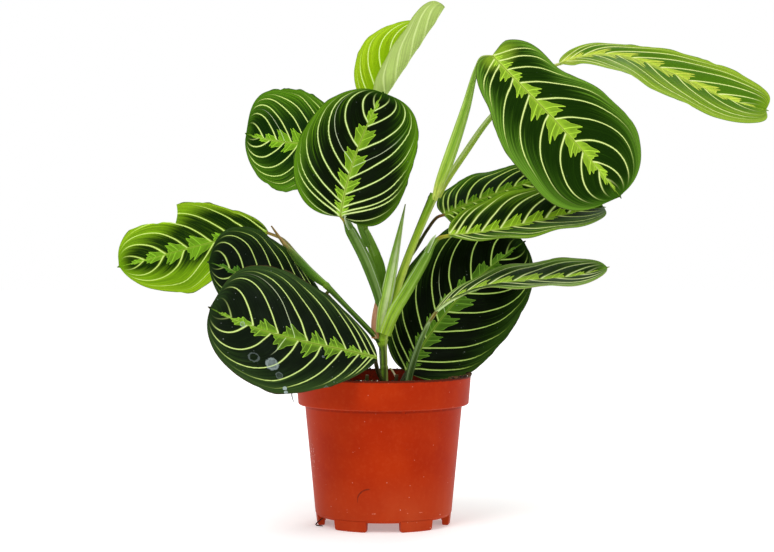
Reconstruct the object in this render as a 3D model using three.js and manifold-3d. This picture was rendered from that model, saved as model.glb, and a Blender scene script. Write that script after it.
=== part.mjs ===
// A prayer plant (maranta) in a round 12 cm nursery pot. Millimetres, +Z up, the pot stands on z = 0.
// X runs to the right and Y to the back of the plant, seen from its best side.
import * as THREE from 'three';
import { mergeVertices } from 'three/addons/utils/BufferGeometryUtils.js';
import Module from 'manifold-3d';

const wasm = await Module();
wasm.setup();

// The plant's tables below count from the pot's axis. The whole plant is then moved so that its
// bounding box is centred on the origin, because its leaves reach further right than left.
const POT_AXIS = new THREE.Vector3(-41.7, 14.8, 0);

// Clearance between pieces that touch.
const GAP = 0.3;

// Pot
const POT_HEIGHT = 102;
const RIM_RADIUS = 60;
const RIM_RADIUS_BELOW = 58.4;
const RIM_BAND = 20;
const RIM_CORNER = 1.5;
const BODY_RADIUS_TOP = 53.9;
const BODY_RADIUS_BOTTOM = 46.8;
const BODY_CHAMFER = 1.2;
const WALL = 1.4;
const FOOT_HEIGHT = 6.4;
const FOOT_COUNT = 6;
const FIRST_FOOT_AT = -60;
const FOOT_ANGLE = 31;
const FOOT_DEPTH = 5;
const FOOT_SEGMENTS = 5;
const FLOOR = 1.6;
const DRAIN_COUNT = 8;
const DRAIN_RADIUS = 4;
const DRAIN_CIRCLE = 30;
const DRAIN_SIDES = 10;
const POT_SIDES = 40;

// Soil
const SOIL_TOP = 90;
const SOIL_CLEAR_OF_WALL = 0.4;
const SOIL_LUMP = 1.6;
const SOIL_RINGS = 5;
const SOIL_SIDES = 32;
const STEM_FOOT = 62;

// Leaf blades
const BLADE_THICKNESS = 0.7;
const BLADE_ROWS = 16;
const BLADE_COLUMNS = 8;
const BLADE_CLOSES = 0.985;
const BLADE_END_HALF = 0.9;
const LOBE_FADE = 6;
const EDGE_WAVES = 3;
const RIGHT_WAVE_LAG = 1.7;
const FLATTEST_CURL = 0.01;
const RIB_SAMPLES = 200;
const RIB_STEP = 1e-3;
const SURFACE_STEP = 0.004;

// Stalks
const STALK_SIDES = 8;
const STALK_STEPS_PER_POINT = 2;
const STALK_FACING = new THREE.Vector3(0, -1, 0);
const ALONG_FACING = 0.2;

// Looks of the solids
const POT_COLOUR = 0xb8431c;
const POT_ROUGHNESS = 0.45;
const SOIL_COLOUR = 0x3a2618;
const SOIL_ROUGHNESS = 0.95;
const BLADE_ROUGHNESS = 0.4;
const STALK_ROUGHNESS = 0.5;

// Points closer than this are one point of a closed mesh.
const SAME_POINT = 1e-4;

const DEGREE = Math.PI / 180;

// Each blade: rib is four points on its midrib from base to tip, and faces is where its upper side
// looks, at the base and at the tip. left and right are the halves as seen from above with the tip
// up: half width, where along the rib it is widest, and how full the outline is towards base and
// tip. closes is where a half ends before the tip. fold lifts a half at the rib, curl bends it
// further towards its edge, in degrees, and roll is the share of the half width over which it
// curls. lobe is how far the base reaches back, and lobeRise how soon it does so. ahead is how far
// the halves reach past the rib's tip. waists narrow a half, or widen it where the depth is below 0.
const LEAVES = [
  {
    name: 'leaf_01_front_left',
    colour: 0x1d3a1a,
    rib: [[-4, -40, 116], [-36, -64, 125], [-72, -84, 135], [-111, -95, 152]],
    faces: [[0, -0.9, 0.4], [0, -0.9, 0.4]],
    left: { half: 40, widest: 0.6, base: 1.3, tip: 1.9 },
    right: { half: 43.6, widest: 0.56, base: 1.45, tip: 3.1 },
    fold: [8, 8],
    curl: [-10, -10],
    lobe: [3, 3],
    ahead: [0, 2],
    wave: 1.2,
  },
  {
    name: 'leaf_02_left',
    colour: 0x1d3a1a,
    rib: [[-41, -12, 154], [-66, -25, 159], [-91, -38, 170], [-116, -48, 180]],
    faces: [[0, -0.8, 0.6], [0, -0.8, 0.6]],
    left: { half: 38, widest: 0.5, base: 1.4, tip: 2 },
    right: { half: 39, widest: 0.55, base: 1.75, tip: 2.7 },
    fold: [8, 8],
    curl: [-10, -10],
    lobe: [3, 4],
    wave: 1.2,
  },
  {
    name: 'leaf_03_far_left',
    colour: 0x5c9a1f,
    rib: [[-80, 14, 200], [-114, 10, 194], [-148, 4, 185], [-182, -4, 176]],
    faces: [[0, -0.85, 0.5], [0, -0.85, 0.5]],
    left: { half: 40, widest: 0.6, base: 1.4, tip: 1.6 },
    right: { half: 35, widest: 0.48, base: 1.4, tip: 2.2 },
    fold: [8, 8],
    curl: [10, 0],
    lobe: [3, 3],
    wave: 1.2,
    // A torn notch in the right half: where it starts, is deepest and ends, and its depth.
    tear: { start: 0.52, deepest: 0.56, end: 0.86, depth: 14 },
  },
  {
    name: 'leaf_04_upper_left',
    colour: 0x356a1d,
    rib: [[-26, 8, 259], [-50, 32, 262], [-75, 56, 265], [-101, 76, 272]],
    faces: [[-0.7, -0.7, 0.1], [-0.7, -0.7, 0.1]],
    left: { half: 36, widest: 0.5, base: 1.7, tip: 1.7 },
    right: { half: 38, widest: 0.5, base: 1.7, tip: 3.3 },
    fold: [8, 8],
    curl: [0, 0],
    lobe: [3, 3],
    ahead: [0, 3],
    wave: 1.2,
  },
  {
    name: 'leaf_05_upper_middle',
    colour: 0x23451a,
    rib: [[-29, -24, 210], [-23, -14, 239], [-13, 3, 269], [0, 22, 298]],
    faces: [[0, -0.9, 0.3], [0, -0.9, 0.3]],
    left: { half: 40, widest: 0.42, base: 2.3, tip: 2 },
    right: { half: 40, widest: 0.38, base: 2.7, tip: 2.7 },
    fold: [8, 8],
    curl: [-10, -10],
    lobe: [4, 16],
    wave: 1.2,
  },
  {
    name: 'leaf_06_young_half_rolled',
    colour: 0x9cc53a,
    rib: [[-6, 46, 287], [11, 50, 313], [27.5, 54, 338], [43, 57, 362]],
    faces: [[-0.4, -0.9, 0.1], [-0.4, -0.9, 0.1]],
    left: { half: 35, widest: 0.42, base: 2, tip: 1.7, closes: 0.83 },
    right: { half: 24, widest: 0.5, base: 2.4, tip: 5 },
    fold: [0, 27],
    curl: [20, 158],
    roll: [1, 0.69],
    lobe: [3, 3],
    wave: 0.8,
  },
  {
    name: 'leaf_07_upper_right',
    colour: 0x2c5a1a,
    rib: [[74, -8, 320], [101, -22, 290], [129, -36, 258], [157, -48, 222]],
    faces: [[0.2, -0.85, 0.4], [0.2, -0.85, 0.4]],
    left: { half: 47, widest: 0.6, base: 2.8, tip: 1.9 },
    right: { half: 46, widest: 0.66, base: 2, tip: 3 },
    fold: [8, 8],
    curl: [-20, -20],
    lobe: [6, 6],
    lobeRise: 3,
    wave: 1.2,
    waists: [
      { side: 'left', at: 0.27, spread: 0.18, depth: 12 },
      { side: 'right', at: 0.24, spread: 0.12, depth: 4 },
    ],
  },
  {
    name: 'leaf_08_far_right',
    colour: 0x6fa52c,
    rib: [[122, 16, 317], [171, 16, 321], [215, 8, 302], [263, -4, 283]],
    faces: [[0, -0.42, 0.9], [0, -0.6, 0.8]],
    left: { half: 30, widest: 0.66, base: 1.7, tip: 2.6 },
    right: { half: 42, widest: 0.4, base: 1.4, tip: 2.7 },
    fold: [8, 8],
    curl: [0, 0],
    lobe: [3, 3],
    ahead: [9, 16],
    wave: 1.2,
    waists: [
      { side: 'left', at: 0.36, spread: 0.14, depth: 8 },
      { side: 'right', at: 0.24, spread: 0.11, depth: -9 },
      { side: 'right', at: 0.04, spread: 0.03, depth: -6 },
    ],
  },
  {
    name: 'leaf_09_right_back',
    colour: 0x3f7a22,
    rib: [[42, 10, 212], [67, 24, 223], [95, 34, 233], [125, 40, 243]],
    faces: [[0, -0.38, 0.92], [0, -0.38, 0.92]],
    left: { half: 27, widest: 0.45, base: 2, tip: 2 },
    right: { half: 28, widest: 0.45, base: 2, tip: 2 },
    fold: [12, -42],
    curl: [0, 0],
    lobe: [3, 3],
    wave: 1.2,
  },
  {
    name: 'leaf_10_right_middle',
    colour: 0x2f5f1f,
    rib: [[44, -14, 198], [79, -16, 202], [114, -18, 210], [150, -18, 217]],
    faces: [[0, -0.65, 0.75], [0, -0.65, 0.75]],
    left: { half: 36, widest: 0.5, base: 2.2, tip: 2 },
    right: { half: 42, widest: 0.7, base: 1.6, tip: 2.8 },
    fold: [0, 28],
    curl: [0, 0],
    lobe: [3, 3],
    wave: 1.2,
  },
  {
    name: 'leaf_11_lower_right',
    colour: 0x1d3a1a,
    rib: [[16, 14, 103], [38, 26, 136], [65, 38, 166], [101, 46, 194]],
    faces: [[0, -0.9, 0.4], [0, -0.9, 0.4]],
    left: { half: 42, widest: 0.6, base: 2, tip: 2.4 },
    right: { half: 46, widest: 0.42, base: 2.4, tip: 2.2 },
    fold: [8, 8],
    curl: [0, 0],
    lobe: [3, 3],
    wave: 1.2,
  },
  {
    name: 'leaf_12_right_front',
    colour: 0x355f2a,
    rib: [[35, -28, 147], [72, -34, 165], [111, -38, 169], [150, -40, 177]],
    faces: [[0, -0.1, 0.99], [0, -0.35, 0.94]],
    left: { half: 32, widest: 0.6, base: 2, tip: 2 },
    right: { half: 32, widest: 0.6, base: 2, tip: 2 },
    fold: [7, 6],
    curl: [0, 0],
    lobe: [3, 3],
    wave: 1.2,
  },
];

// Each stalk: its route from the bottom up, and its width across and its depth at every point of
// the route. leaf names the blade that it carries: a last point is then added just short of that
// blade's base. in_soil gives it a hole in the soil. A stalk that grows from one listed before it
// starts inside it, and is cut clear of it later.
const STALKS = [
  {
    name: 'stem_main',
    colour: 0x86a83a,
    route: [[0.4, 0, STEM_FOOT], [0.4, 0, 100], [0, 0, 118], [-1, 0, 127], [2.6, 2, 140], [13, 4, 172],
      [23, 5, 198], [35, 6, 226]],
    width: [6, 5.8, 4.8, 8.4, 6.4, 5.6, 5.6, 6.2],
    depth: [6, 5.8, 5, 7.6, 6, 5.4, 5.4, 6],
    in_soil: true,
  },
  {
    name: 'stem_back',
    colour: 0x5f7f2c,
    route: [[0, 10, STEM_FOOT], [0, 9, 100], [-1, 8, 126], [-1, 8, 150], [-3, 9, 176], [-13, 11, 200]],
    width: [4.4, 4.6, 4.8, 6, 7.8, 4.6],
    depth: [4.4, 4.6, 5, 4.6, 4.6, 3.4],
    in_soil: true,
  },
  {
    name: 'spear_new_shoot',
    colour: 0xb4cf6c,
    route: [[-2, -4, 131], [0, -4.6, 145], [4, -4, 165], [9, -2, 190], [15, 0, 219]],
    width: [7, 8.6, 8, 5, 0.8],
    depth: [3, 3.4, 3.2, 2.4, 0.8],
  },
  {
    name: 'petiole_10',
    colour: 0x8db040,
    leaf: 'leaf_10_right_middle',
    route: [[1, -6, 130], [6.5, -9.6, 144], [17, -12, 162], [28, -14, 181], [36, -15, 194.5]],
    width: [8, 8.4, 8, 6.6, 3.2],
    depth: [3, 3.6, 3.8, 3.6, 3],
  },
  {
    name: 'petiole_05',
    colour: 0x6f9532,
    leaf: 'leaf_05_upper_middle',
    route: [[-2, -1, 134], [-2, -3, 150], [-11, -8, 178], [-22, -15, 200], [-26, -21, 207]],
    width: [4, 6.4, 8, 7.6, 2.8],
    depth: [2.4, 3.4, 4.2, 3.6, 2.6],
  },
  {
    name: 'petiole_06',
    colour: 0x8fb83c,
    leaf: 'leaf_06_young_half_rolled',
    route: [[-12, 12, 196], [-14, 16, 214], [-15, 26, 240], [-11, 38, 270]],
    width: [4.4, 3.6, 3, 2.8],
    depth: [3.6, 3.2, 3, 2.8],
  },
  {
    name: 'petiole_04',
    colour: 0x7fa838,
    leaf: 'leaf_04_upper_left',
    route: [[-11, 8, 190], [-17, 6, 206], [-21, 4, 226], [-23, 4, 246]],
    width: [4.4, 3.6, 2.8, 2.6],
    depth: [3.4, 3.2, 2.8, 2.6],
  },
  {
    name: 'petiole_07',
    colour: 0x9bbf4c,
    leaf: 'leaf_07_upper_right',
    route: [[35, 4, 222], [38, 2, 232], [44.8, 0, 250], [56, -4, 284], [63.3, -8, 311], [67, -8, 318]],
    width: [4, 6.4, 8, 6.4, 3.4, 2.8],
    depth: [3, 4, 4.4, 3.8, 2.8, 2.6],
  },
  {
    name: 'petiole_08',
    colour: 0x9bbf4c,
    leaf: 'leaf_08_far_right',
    route: [[38, 8, 224], [43, 9, 234], [56, 10, 254], [74, 12, 279], [95, 14, 299], [113, 16, 313]],
    width: [3.4, 4.2, 4.4, 4, 3, 2.6],
    depth: [3, 3.8, 4, 3.8, 3, 2.6],
  },
  {
    name: 'petiole_09',
    colour: 0x6b5a34,
    leaf: 'leaf_09_right_back',
    route: [[14.5, 5, 178], [22, 10, 188], [30, 12.5, 201], [37, 11, 210]],
    width: [2.6, 2.6, 2.4, 2.2],
    depth: [2.6, 2.6, 2.4, 2.2],
  },
  {
    name: 'petiole_01',
    colour: 0x6b5a34,
    leaf: 'leaf_01_front_left',
    route: [[-1, -2, 98], [-3.5, -10, 104], [-5, -24, 111]],
    width: [3, 2.8, 2.6],
    depth: [3, 2.8, 2.6],
  },
  {
    name: 'petiole_11',
    colour: 0x4c4a2a,
    leaf: 'leaf_11_lower_right',
    route: [[11, 9, STEM_FOOT], [12, 10, 84], [13, 12, 96]],
    width: [3.6, 3.6, 3],
    depth: [3.4, 3.4, 3],
    in_soil: true,
  },
  {
    name: 'petiole_12',
    colour: 0x7f9b4a,
    leaf: 'leaf_12_right_front',
    route: [[15, -9, STEM_FOOT], [16, -11, 92], [18, -14, 104], [23, -20, 121], [30, -26, 138]],
    width: [4, 4.6, 4.8, 4.2, 2.8],
    depth: [4, 4.2, 4, 3.6, 2.8],
    in_soil: true,
  },
  {
    name: 'stem_left',
    colour: 0x7c9c3a,
    route: [[-3, -2, 125], [-9, -5, 132], [-24, -12, 148], [-40, -18, 165]],
    width: [3.4, 3.6, 3.6, 4.4],
    depth: [3.4, 3.4, 3.4, 4],
  },
  {
    name: 'sheath_left',
    colour: 0x9fb860,
    route: [[-39, -18, 164], [-47, -16, 170], [-58, -11, 181], [-68, -5, 192], [-77, 2, 204]],
    width: [4, 6, 6, 2.6, 0.9],
    depth: [3, 3.2, 2.6, 1.4, 0.9],
  },
  {
    name: 'petiole_02',
    colour: 0x6b5a34,
    leaf: 'leaf_02_left',
    route: [[-36, -16, 161], [-39, -12.5, 157.5]],
    width: [2.8, 2.4],
    depth: [2.6, 2.4],
  },
  {
    name: 'petiole_03',
    colour: 0x6b5a34,
    leaf: 'leaf_03_far_left',
    route: [[-52, -10, 176], [-60, -1, 185], [-70, 10, 195]],
    width: [3, 2.6, 2.4],
    depth: [2.8, 2.6, 2.4],
  },
  {
    name: 'dried_sheath',
    colour: 0xa4713d,
    route: [[-5.6, -4, 127], [-5.7, -3.8, 137], [-4.8, -3.4, 148], [-3.4, -3, 159]],
    width: [4.6, 5.4, 4, 0.9],
    depth: [1.2, 1.4, 1.2, 0.8],
  },
  {
    name: 'stub_left',
    colour: 0x9fb060,
    route: [[-12, -16, 70], [-12, -16, 92], [-11, -17, 103]],
    width: [2.6, 2.8, 2.4],
    depth: [2.6, 2.6, 2],
    in_soil: true,
  },
  {
    name: 'stub_right',
    colour: 0x8a9a50,
    route: [[8, -14, 70], [8, -14, 92], [9, -15, 103]],
    width: [2.8, 3, 2.4],
    depth: [2.6, 2.8, 2.2],
    in_soil: true,
  },
];

// Between two closed meshes and solids that can be joined and cut

function solidOf(geometry) {
  const bare = geometry.index ? geometry.toNonIndexed() : geometry.clone();
  bare.deleteAttribute('normal');
  bare.deleteAttribute('uv');
  const merged = mergeVertices(bare, SAME_POINT);
  const index = merged.index.array;
  const triangles = [];
  for (let i = 0; i < index.length; i += 3) {
    const [a, b, c] = [index[i], index[i + 1], index[i + 2]];
    if (a !== b && b !== c && c !== a) {
      triangles.push(a, b, c);
    }
  }
  return new wasm.Manifold(new wasm.Mesh({
    numProp: 3,
    vertProperties: new Float32Array(merged.attributes.position.array),
    triVerts: new Uint32Array(triangles),
  }));
}

function geometryOf(solid) {
  const mesh = solid.getMesh();
  const geometry = new THREE.BufferGeometry();
  const positions = new Float32Array(mesh.numVert * 3);
  for (let i = 0; i < mesh.numVert; i += 1) {
    for (let axis = 0; axis < 3; axis += 1) {
      positions[i * 3 + axis] = mesh.vertProperties[i * mesh.numProp + axis];
    }
  }
  geometry.setAttribute('position', new THREE.BufferAttribute(positions, 3));
  geometry.setIndex(Array.from(mesh.triVerts));
  geometry.computeVertexNormals();
  return geometry;
}

// The largest body of a solid, without the scraps that a cut leaves.
function largestBody(solid) {
  const bodies = solid.decompose();
  return bodies.reduce((best, body) => (body.volume() > best.volume() ? body : best));
}

function meshOf(name, geometry, colour, roughness) {
  const material = new THREE.MeshStandardMaterial({ color: colour, roughness, metalness: 0 });
  const mesh = new THREE.Mesh(geometry, material);
  mesh.name = name;
  return mesh;
}

// A closed skin over a grid of rings, each ring a list of points, with flat ends.
function skinOfRings(rings) {
  const sides = rings[0].length;
  const positions = rings.flat().flatMap((point) => point.toArray());
  const triangles = [];
  for (let ring = 0; ring + 1 < rings.length; ring += 1) {
    for (let side = 0; side < sides; side += 1) {
      const next = (side + 1) % sides;
      const a = ring * sides + side;
      const b = ring * sides + next;
      const c = (ring + 1) * sides + side;
      const d = (ring + 1) * sides + next;
      triangles.push(a, b, d, a, d, c);
    }
  }
  const addEnd = (ring, outward) => {
    const centre = new THREE.Vector3();
    rings[ring].forEach((point) => centre.addScaledVector(point, 1 / sides));
    const hub = positions.length / 3;
    positions.push(...centre.toArray());
    for (let side = 0; side < sides; side += 1) {
      const a = ring * sides + side;
      const b = ring * sides + (side + 1) % sides;
      triangles.push(...(outward ? [hub, a, b] : [hub, b, a]));
    }
  };
  addEnd(0, false);
  addEnd(rings.length - 1, true);
  const geometry = new THREE.BufferGeometry();
  geometry.setAttribute('position', new THREE.Float32BufferAttribute(positions, 3));
  geometry.setIndex(triangles);
  return geometry;
}

// Leaf blades

class Blade {
  constructor(spec) {
    this.spec = spec;
    this.rib = spec.rib.map((point) => new THREE.Vector3(...point));
    this.lengths = [0];
    let last = this.ribAt(0);
    for (let i = 1; i <= RIB_SAMPLES; i += 1) {
      const point = this.ribAt(i / RIB_SAMPLES);
      this.lengths.push(this.lengths[i - 1] + point.distanceTo(last));
      last = point;
    }
    this.length = this.lengths[RIB_SAMPLES];
  }

  // The cubic that passes through the rib's four points at thirds of its run.
  ribAt(t) {
    const a = t - 1 / 3;
    const b = t - 2 / 3;
    const c = t - 1;
    const weights = [-4.5 * a * b * c, 13.5 * t * b * c, -13.5 * t * a * c, 4.5 * t * a * b];
    const point = new THREE.Vector3();
    this.rib.forEach((knot, i) => point.addScaledVector(knot, weights[i]));
    return point;
  }

  ribDirection(t) {
    return this.ribAt(t + RIB_STEP).sub(this.ribAt(t - RIB_STEP)).normalize();
  }

  // The cubic's own parameter at a distance along the rib.
  parameterAt(distance) {
    const wanted = THREE.MathUtils.clamp(distance, 0, this.length);
    let i = 1;
    while (i < RIB_SAMPLES && this.lengths[i] < wanted) {
      i += 1;
    }
    const share = (wanted - this.lengths[i - 1]) / (this.lengths[i] - this.lengths[i - 1]);
    return (i - 1 + share) / RIB_SAMPLES;
  }

  // Half width at s, from 0 at the base to 1 at the tip. side is 'left' or 'right'.
  halfWidth(s, side) {
    const half = this.spec[side];
    const towardsBase = s < half.widest;
    const closes = half.closes ?? BLADE_CLOSES;
    const reach = towardsBase ? half.widest : closes - half.widest;
    const away = Math.abs(s - half.widest) / reach;
    const power = towardsBase ? half.base : half.tip;
    let width = half.half * Math.pow(1 - Math.pow(Math.min(away, 1), power), 1 / power);
    const { tear, waists = [] } = this.spec;
    if (tear && side === 'right') {
      const opens = THREE.MathUtils.clamp((s - tear.start) / (tear.deepest - tear.start), 0, 1);
      const heals = THREE.MathUtils.clamp((tear.end - s) / (tear.end - tear.deepest), 0, 1);
      width -= tear.depth * opens * heals;
    }
    waists.filter((waist) => waist.side === side).forEach((waist) => {
      width -= waist.depth * Math.exp(-(((s - waist.at) / waist.spread) ** 2));
    });
    return Math.max(width, BLADE_END_HALF);
  }

  // A point of the middle surface: s along the rib, t across from -1 (left edge) to 1 (right edge).
  pointAt(s, t, widen = 0) {
    const { spec } = this;
    const side = t > 0 ? 'right' : 'left';
    const sideIndex = t > 0 ? 1 : 0;
    const across = Math.abs(t);
    const half = this.halfWidth(s, side) + widen;
    const fullHalf = spec[side].half;
    const fromRib = across * half;
    const rounding = across ** 2 * Math.min(((spec.lobeRise ?? 1) * half) / fullHalf, 1);
    const back = spec.lobe[sideIndex] * rounding * (1 - s) ** LOBE_FADE;
    const ahead = spec.ahead ? spec.ahead[sideIndex] * rounding * s ** LOBE_FADE : 0;
    const along = s * this.length - back + ahead;
    const t3 = this.parameterAt(along);
    const direction = this.ribDirection(t3);
    const share = THREE.MathUtils.clamp(along / this.length, 0, 1);
    const point = this.ribAt(t3).addScaledVector(direction, along - share * this.length);
    const up = new THREE.Vector3(...spec.faces[0]).lerp(new THREE.Vector3(...spec.faces[1]), share);
    up.addScaledVector(direction, -up.dot(direction)).normalize();
    const right = direction.clone().cross(up);

    const fold = spec.fold[sideIndex] * DEGREE;
    const curl = (spec.curl[sideIndex] || FLATTEST_CURL) * DEGREE;
    const reach = fullHalf * (spec.roll ? spec.roll[sideIndex] : 1);
    const bend = curl / reach;
    const bent = Math.min(fromRib, reach);
    const angle = fold + bend * bent;
    let out = (Math.sin(angle) - Math.sin(fold)) / bend + (fromRib - bent) * Math.cos(angle);
    let rise = (Math.cos(fold) - Math.cos(angle)) / bend + (fromRib - bent) * Math.sin(angle);
    const lag = t > 0 ? RIGHT_WAVE_LAG : 0;
    const ripple = Math.sin(2 * Math.PI * EDGE_WAVES * s + lag) * Math.sin(Math.PI * s);
    const wave = spec.wave * across ** 2 * ripple;
    out -= Math.sin(angle) * wave;
    rise += Math.cos(angle) * wave;
    return point.addScaledVector(right, Math.sign(t) * out).addScaledVector(up, rise);
  }

  // The way the upper side looks at a point of the surface.
  normalAt(s, t) {
    const sMid = THREE.MathUtils.clamp(s, 3 * SURFACE_STEP, 1 - 3 * SURFACE_STEP);
    const tMid = THREE.MathUtils.clamp(t, -1 + SURFACE_STEP, 1 - SURFACE_STEP);
    const along = this.pointAt(sMid + SURFACE_STEP, tMid).sub(this.pointAt(sMid - SURFACE_STEP, tMid));
    const across = this.pointAt(sMid, tMid + SURFACE_STEP).sub(this.pointAt(sMid, tMid - SURFACE_STEP));
    return across.cross(along).normalize();
  }

  // Where the rows stand along the rib: closer together near the base and the tip.
  rows() {
    const turns = Array.from({ length: BLADE_ROWS + 1 }, (_, i) => (Math.PI * i) / BLADE_ROWS);
    const even = turns.map((turn) => (1 - Math.cos(turn)) / 2);
    const { tear } = this.spec;
    const extra = tear ? [tear.start, tear.deepest] : [];
    return [...even, ...extra].sort((a, b) => a - b);
  }

  // The blade as a closed thin body. Both faces are split into triangles alike.
  geometry(grow = 0) {
    const rows = this.rows();
    const lift = BLADE_THICKNESS / 2 + grow;
    const top = [];
    const bottom = [];
    rows.forEach((s, row) => {
      const push = row === 0 ? -grow : (row === rows.length - 1 ? grow : 0);
      for (let column = 0; column <= BLADE_COLUMNS; column += 1) {
        const t = (2 * column) / BLADE_COLUMNS - 1;
        const middle = this.pointAt(s, t, grow).addScaledVector(this.ribDirection(s), push);
        const normal = this.normalAt(s, t);
        top.push(middle.clone().addScaledVector(normal, lift));
        bottom.push(middle.clone().addScaledVector(normal, -lift));
      }
    });
    const positions = [...top, ...bottom].flatMap((point) => point.toArray());
    const wide = BLADE_COLUMNS + 1;
    const under = top.length;
    const triangles = [];
    for (let row = 0; row + 1 < rows.length; row += 1) {
      for (let column = 0; column < BLADE_COLUMNS; column += 1) {
        const a = row * wide + column;
        const [b, c, d] = [a + 1, a + wide, a + wide + 1];
        triangles.push(a, b, d, a, d, c);
        triangles.push(under + a, under + d, under + b, under + a, under + c, under + d);
      }
    }
    const border = [];
    for (let column = 0; column < BLADE_COLUMNS; column += 1) {
      border.push(column);
    }
    for (let row = 0; row + 1 < rows.length; row += 1) {
      border.push(row * wide + BLADE_COLUMNS);
    }
    for (let column = BLADE_COLUMNS; column > 0; column -= 1) {
      border.push((rows.length - 1) * wide + column);
    }
    for (let row = rows.length - 1; row > 0; row -= 1) {
      border.push(row * wide);
    }
    border.forEach((a, i) => {
      const b = border[(i + 1) % border.length];
      triangles.push(a, under + a, under + b, a, under + b, b);
    });
    const geometry = new THREE.BufferGeometry();
    geometry.setAttribute('position', new THREE.Float32BufferAttribute(positions, 3));
    geometry.setIndex(triangles);
    return geometry;
  }
}

// Stalks: stems, petioles and sheaths

function stalkGeometry(stalk, blades, grow = 0) {
  const route = stalk.route.map((point) => new THREE.Vector3(...point));
  const width = [...stalk.width];
  const depth = [...stalk.depth];
  if (stalk.leaf) {
    const blade = blades[stalk.leaf];
    route.push(blade.ribAt(0).addScaledVector(blade.ribDirection(0), -GAP));
    width.push(width[width.length - 1]);
    depth.push(depth[depth.length - 1]);
  }
  const curve = new THREE.CatmullRomCurve3(route, false, 'centripetal');
  const spans = route.length - 1;
  const steps = spans * STALK_STEPS_PER_POINT;
  const rings = [];
  for (let step = 0; step <= steps; step += 1) {
    const t = step / steps;
    const span = Math.min(Math.floor(t * spans), spans - 1);
    const share = t * spans - span;
    const halfWidth = THREE.MathUtils.lerp(width[span], width[span + 1], share) / 2 + grow;
    const halfDepth = THREE.MathUtils.lerp(depth[span], depth[span + 1], share) / 2 + grow;
    const tangent = curve.getTangent(t);
    const side = tangent.clone().cross(STALK_FACING);
    if (side.length() < ALONG_FACING) {
      side.set(1, 0, 0);
    }
    side.normalize();
    const front = tangent.clone().cross(side).normalize();
    const centre = curve.getPoint(t);
    if (step === 0) {
      centre.addScaledVector(tangent, -grow);
    }
    if (step === steps) {
      centre.addScaledVector(tangent, grow);
    }
    const ring = [];
    for (let corner = 0; corner < STALK_SIDES; corner += 1) {
      const angle = (corner / STALK_SIDES) * 2 * Math.PI;
      ring.push(centre.clone()
        .addScaledVector(side, Math.cos(angle) * halfWidth)
        .addScaledVector(front, Math.sin(angle) * halfDepth));
    }
    rings.push(ring);
  }
  return skinOfRings(rings);
}

// Pot and soil

// Radius of the pot's outer wall at a height between the floor and the rim band.
function wallRadius(z) {
  const share = (z - FOOT_HEIGHT) / (POT_HEIGHT - RIM_BAND - FOOT_HEIGHT);
  return THREE.MathUtils.lerp(BODY_RADIUS_BOTTOM, BODY_RADIUS_TOP, share);
}

function potGeometry() {
  const ledge = POT_HEIGHT - RIM_BAND;
  const outline = [
    [0, FOOT_HEIGHT],
    [BODY_RADIUS_BOTTOM - BODY_CHAMFER, FOOT_HEIGHT],
    [BODY_RADIUS_BOTTOM, FOOT_HEIGHT + BODY_CHAMFER],
    [wallRadius(ledge), ledge],
    [RIM_RADIUS_BELOW - RIM_CORNER, ledge],
    [RIM_RADIUS_BELOW, ledge + RIM_CORNER],
    [RIM_RADIUS, POT_HEIGHT - WALL / 2],
    [RIM_RADIUS - WALL / 3, POT_HEIGHT],
    [RIM_RADIUS - WALL, POT_HEIGHT - WALL / 3],
    [RIM_RADIUS_BELOW - WALL, ledge + WALL],
    [wallRadius(ledge) - WALL, ledge + WALL],
    [BODY_RADIUS_BOTTOM - WALL, FOOT_HEIGHT + FLOOR],
    [0, FOOT_HEIGHT + FLOOR],
  ];
  // A lathe turns about Y, so the outline is turned up to Z afterwards.
  const lathe = new THREE.LatheGeometry(outline.map(([r, z]) => new THREE.Vector2(r, z)), POT_SIDES);
  lathe.rotateX(Math.PI / 2);
  let pot = solidOf(lathe);
  for (let foot = 0; foot < FOOT_COUNT; foot += 1) {
    pot = pot.add(solidOf(footGeometry(FIRST_FOOT_AT + (foot * 360) / FOOT_COUNT)));
  }
  for (let drain = 0; drain < DRAIN_COUNT; drain += 1) {
    const angle = (drain / DRAIN_COUNT) * 2 * Math.PI;
    const hole = new THREE.CylinderGeometry(DRAIN_RADIUS, DRAIN_RADIUS, 3 * FLOOR, DRAIN_SIDES);
    hole.rotateX(Math.PI / 2);
    hole.translate(DRAIN_CIRCLE * Math.cos(angle), DRAIN_CIRCLE * Math.sin(angle), FOOT_HEIGHT + FLOOR / 2);
    pot = pot.subtract(solidOf(hole));
  }
  return geometryOf(pot);
}

// One foot: a short piece of a ring under the pot's edge, sunk into the floor.
function footGeometry(middleDegrees) {
  const outer = BODY_RADIUS_BOTTOM - BODY_CHAMFER;
  const from = (middleDegrees - FOOT_ANGLE / 2) * DEGREE;
  const to = (middleDegrees + FOOT_ANGLE / 2) * DEGREE;
  const shape = new THREE.Shape();
  shape.absarc(0, 0, outer, from, to, false);
  shape.absarc(0, 0, outer - FOOT_DEPTH, to, from, true);
  shape.closePath();
  const sunk = FLOOR / 2;
  const depth = FOOT_HEIGHT + sunk;
  return new THREE.ExtrudeGeometry(shape, { depth, bevelEnabled: false, curveSegments: FOOT_SEGMENTS });
}

// Small lumps of the soil's surface, with none at its edge.
function soilLump(x, y, edgeRadius) {
  const calm = 1 - (Math.hypot(x, y) / edgeRadius) ** 4;
  const lumps = Math.sin(x * 0.21 + 1) * Math.cos(y * 0.17) + 0.6 * Math.sin(x * 0.11 - y * 0.24 + 2);
  return SOIL_LUMP * calm * lumps;
}

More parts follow.
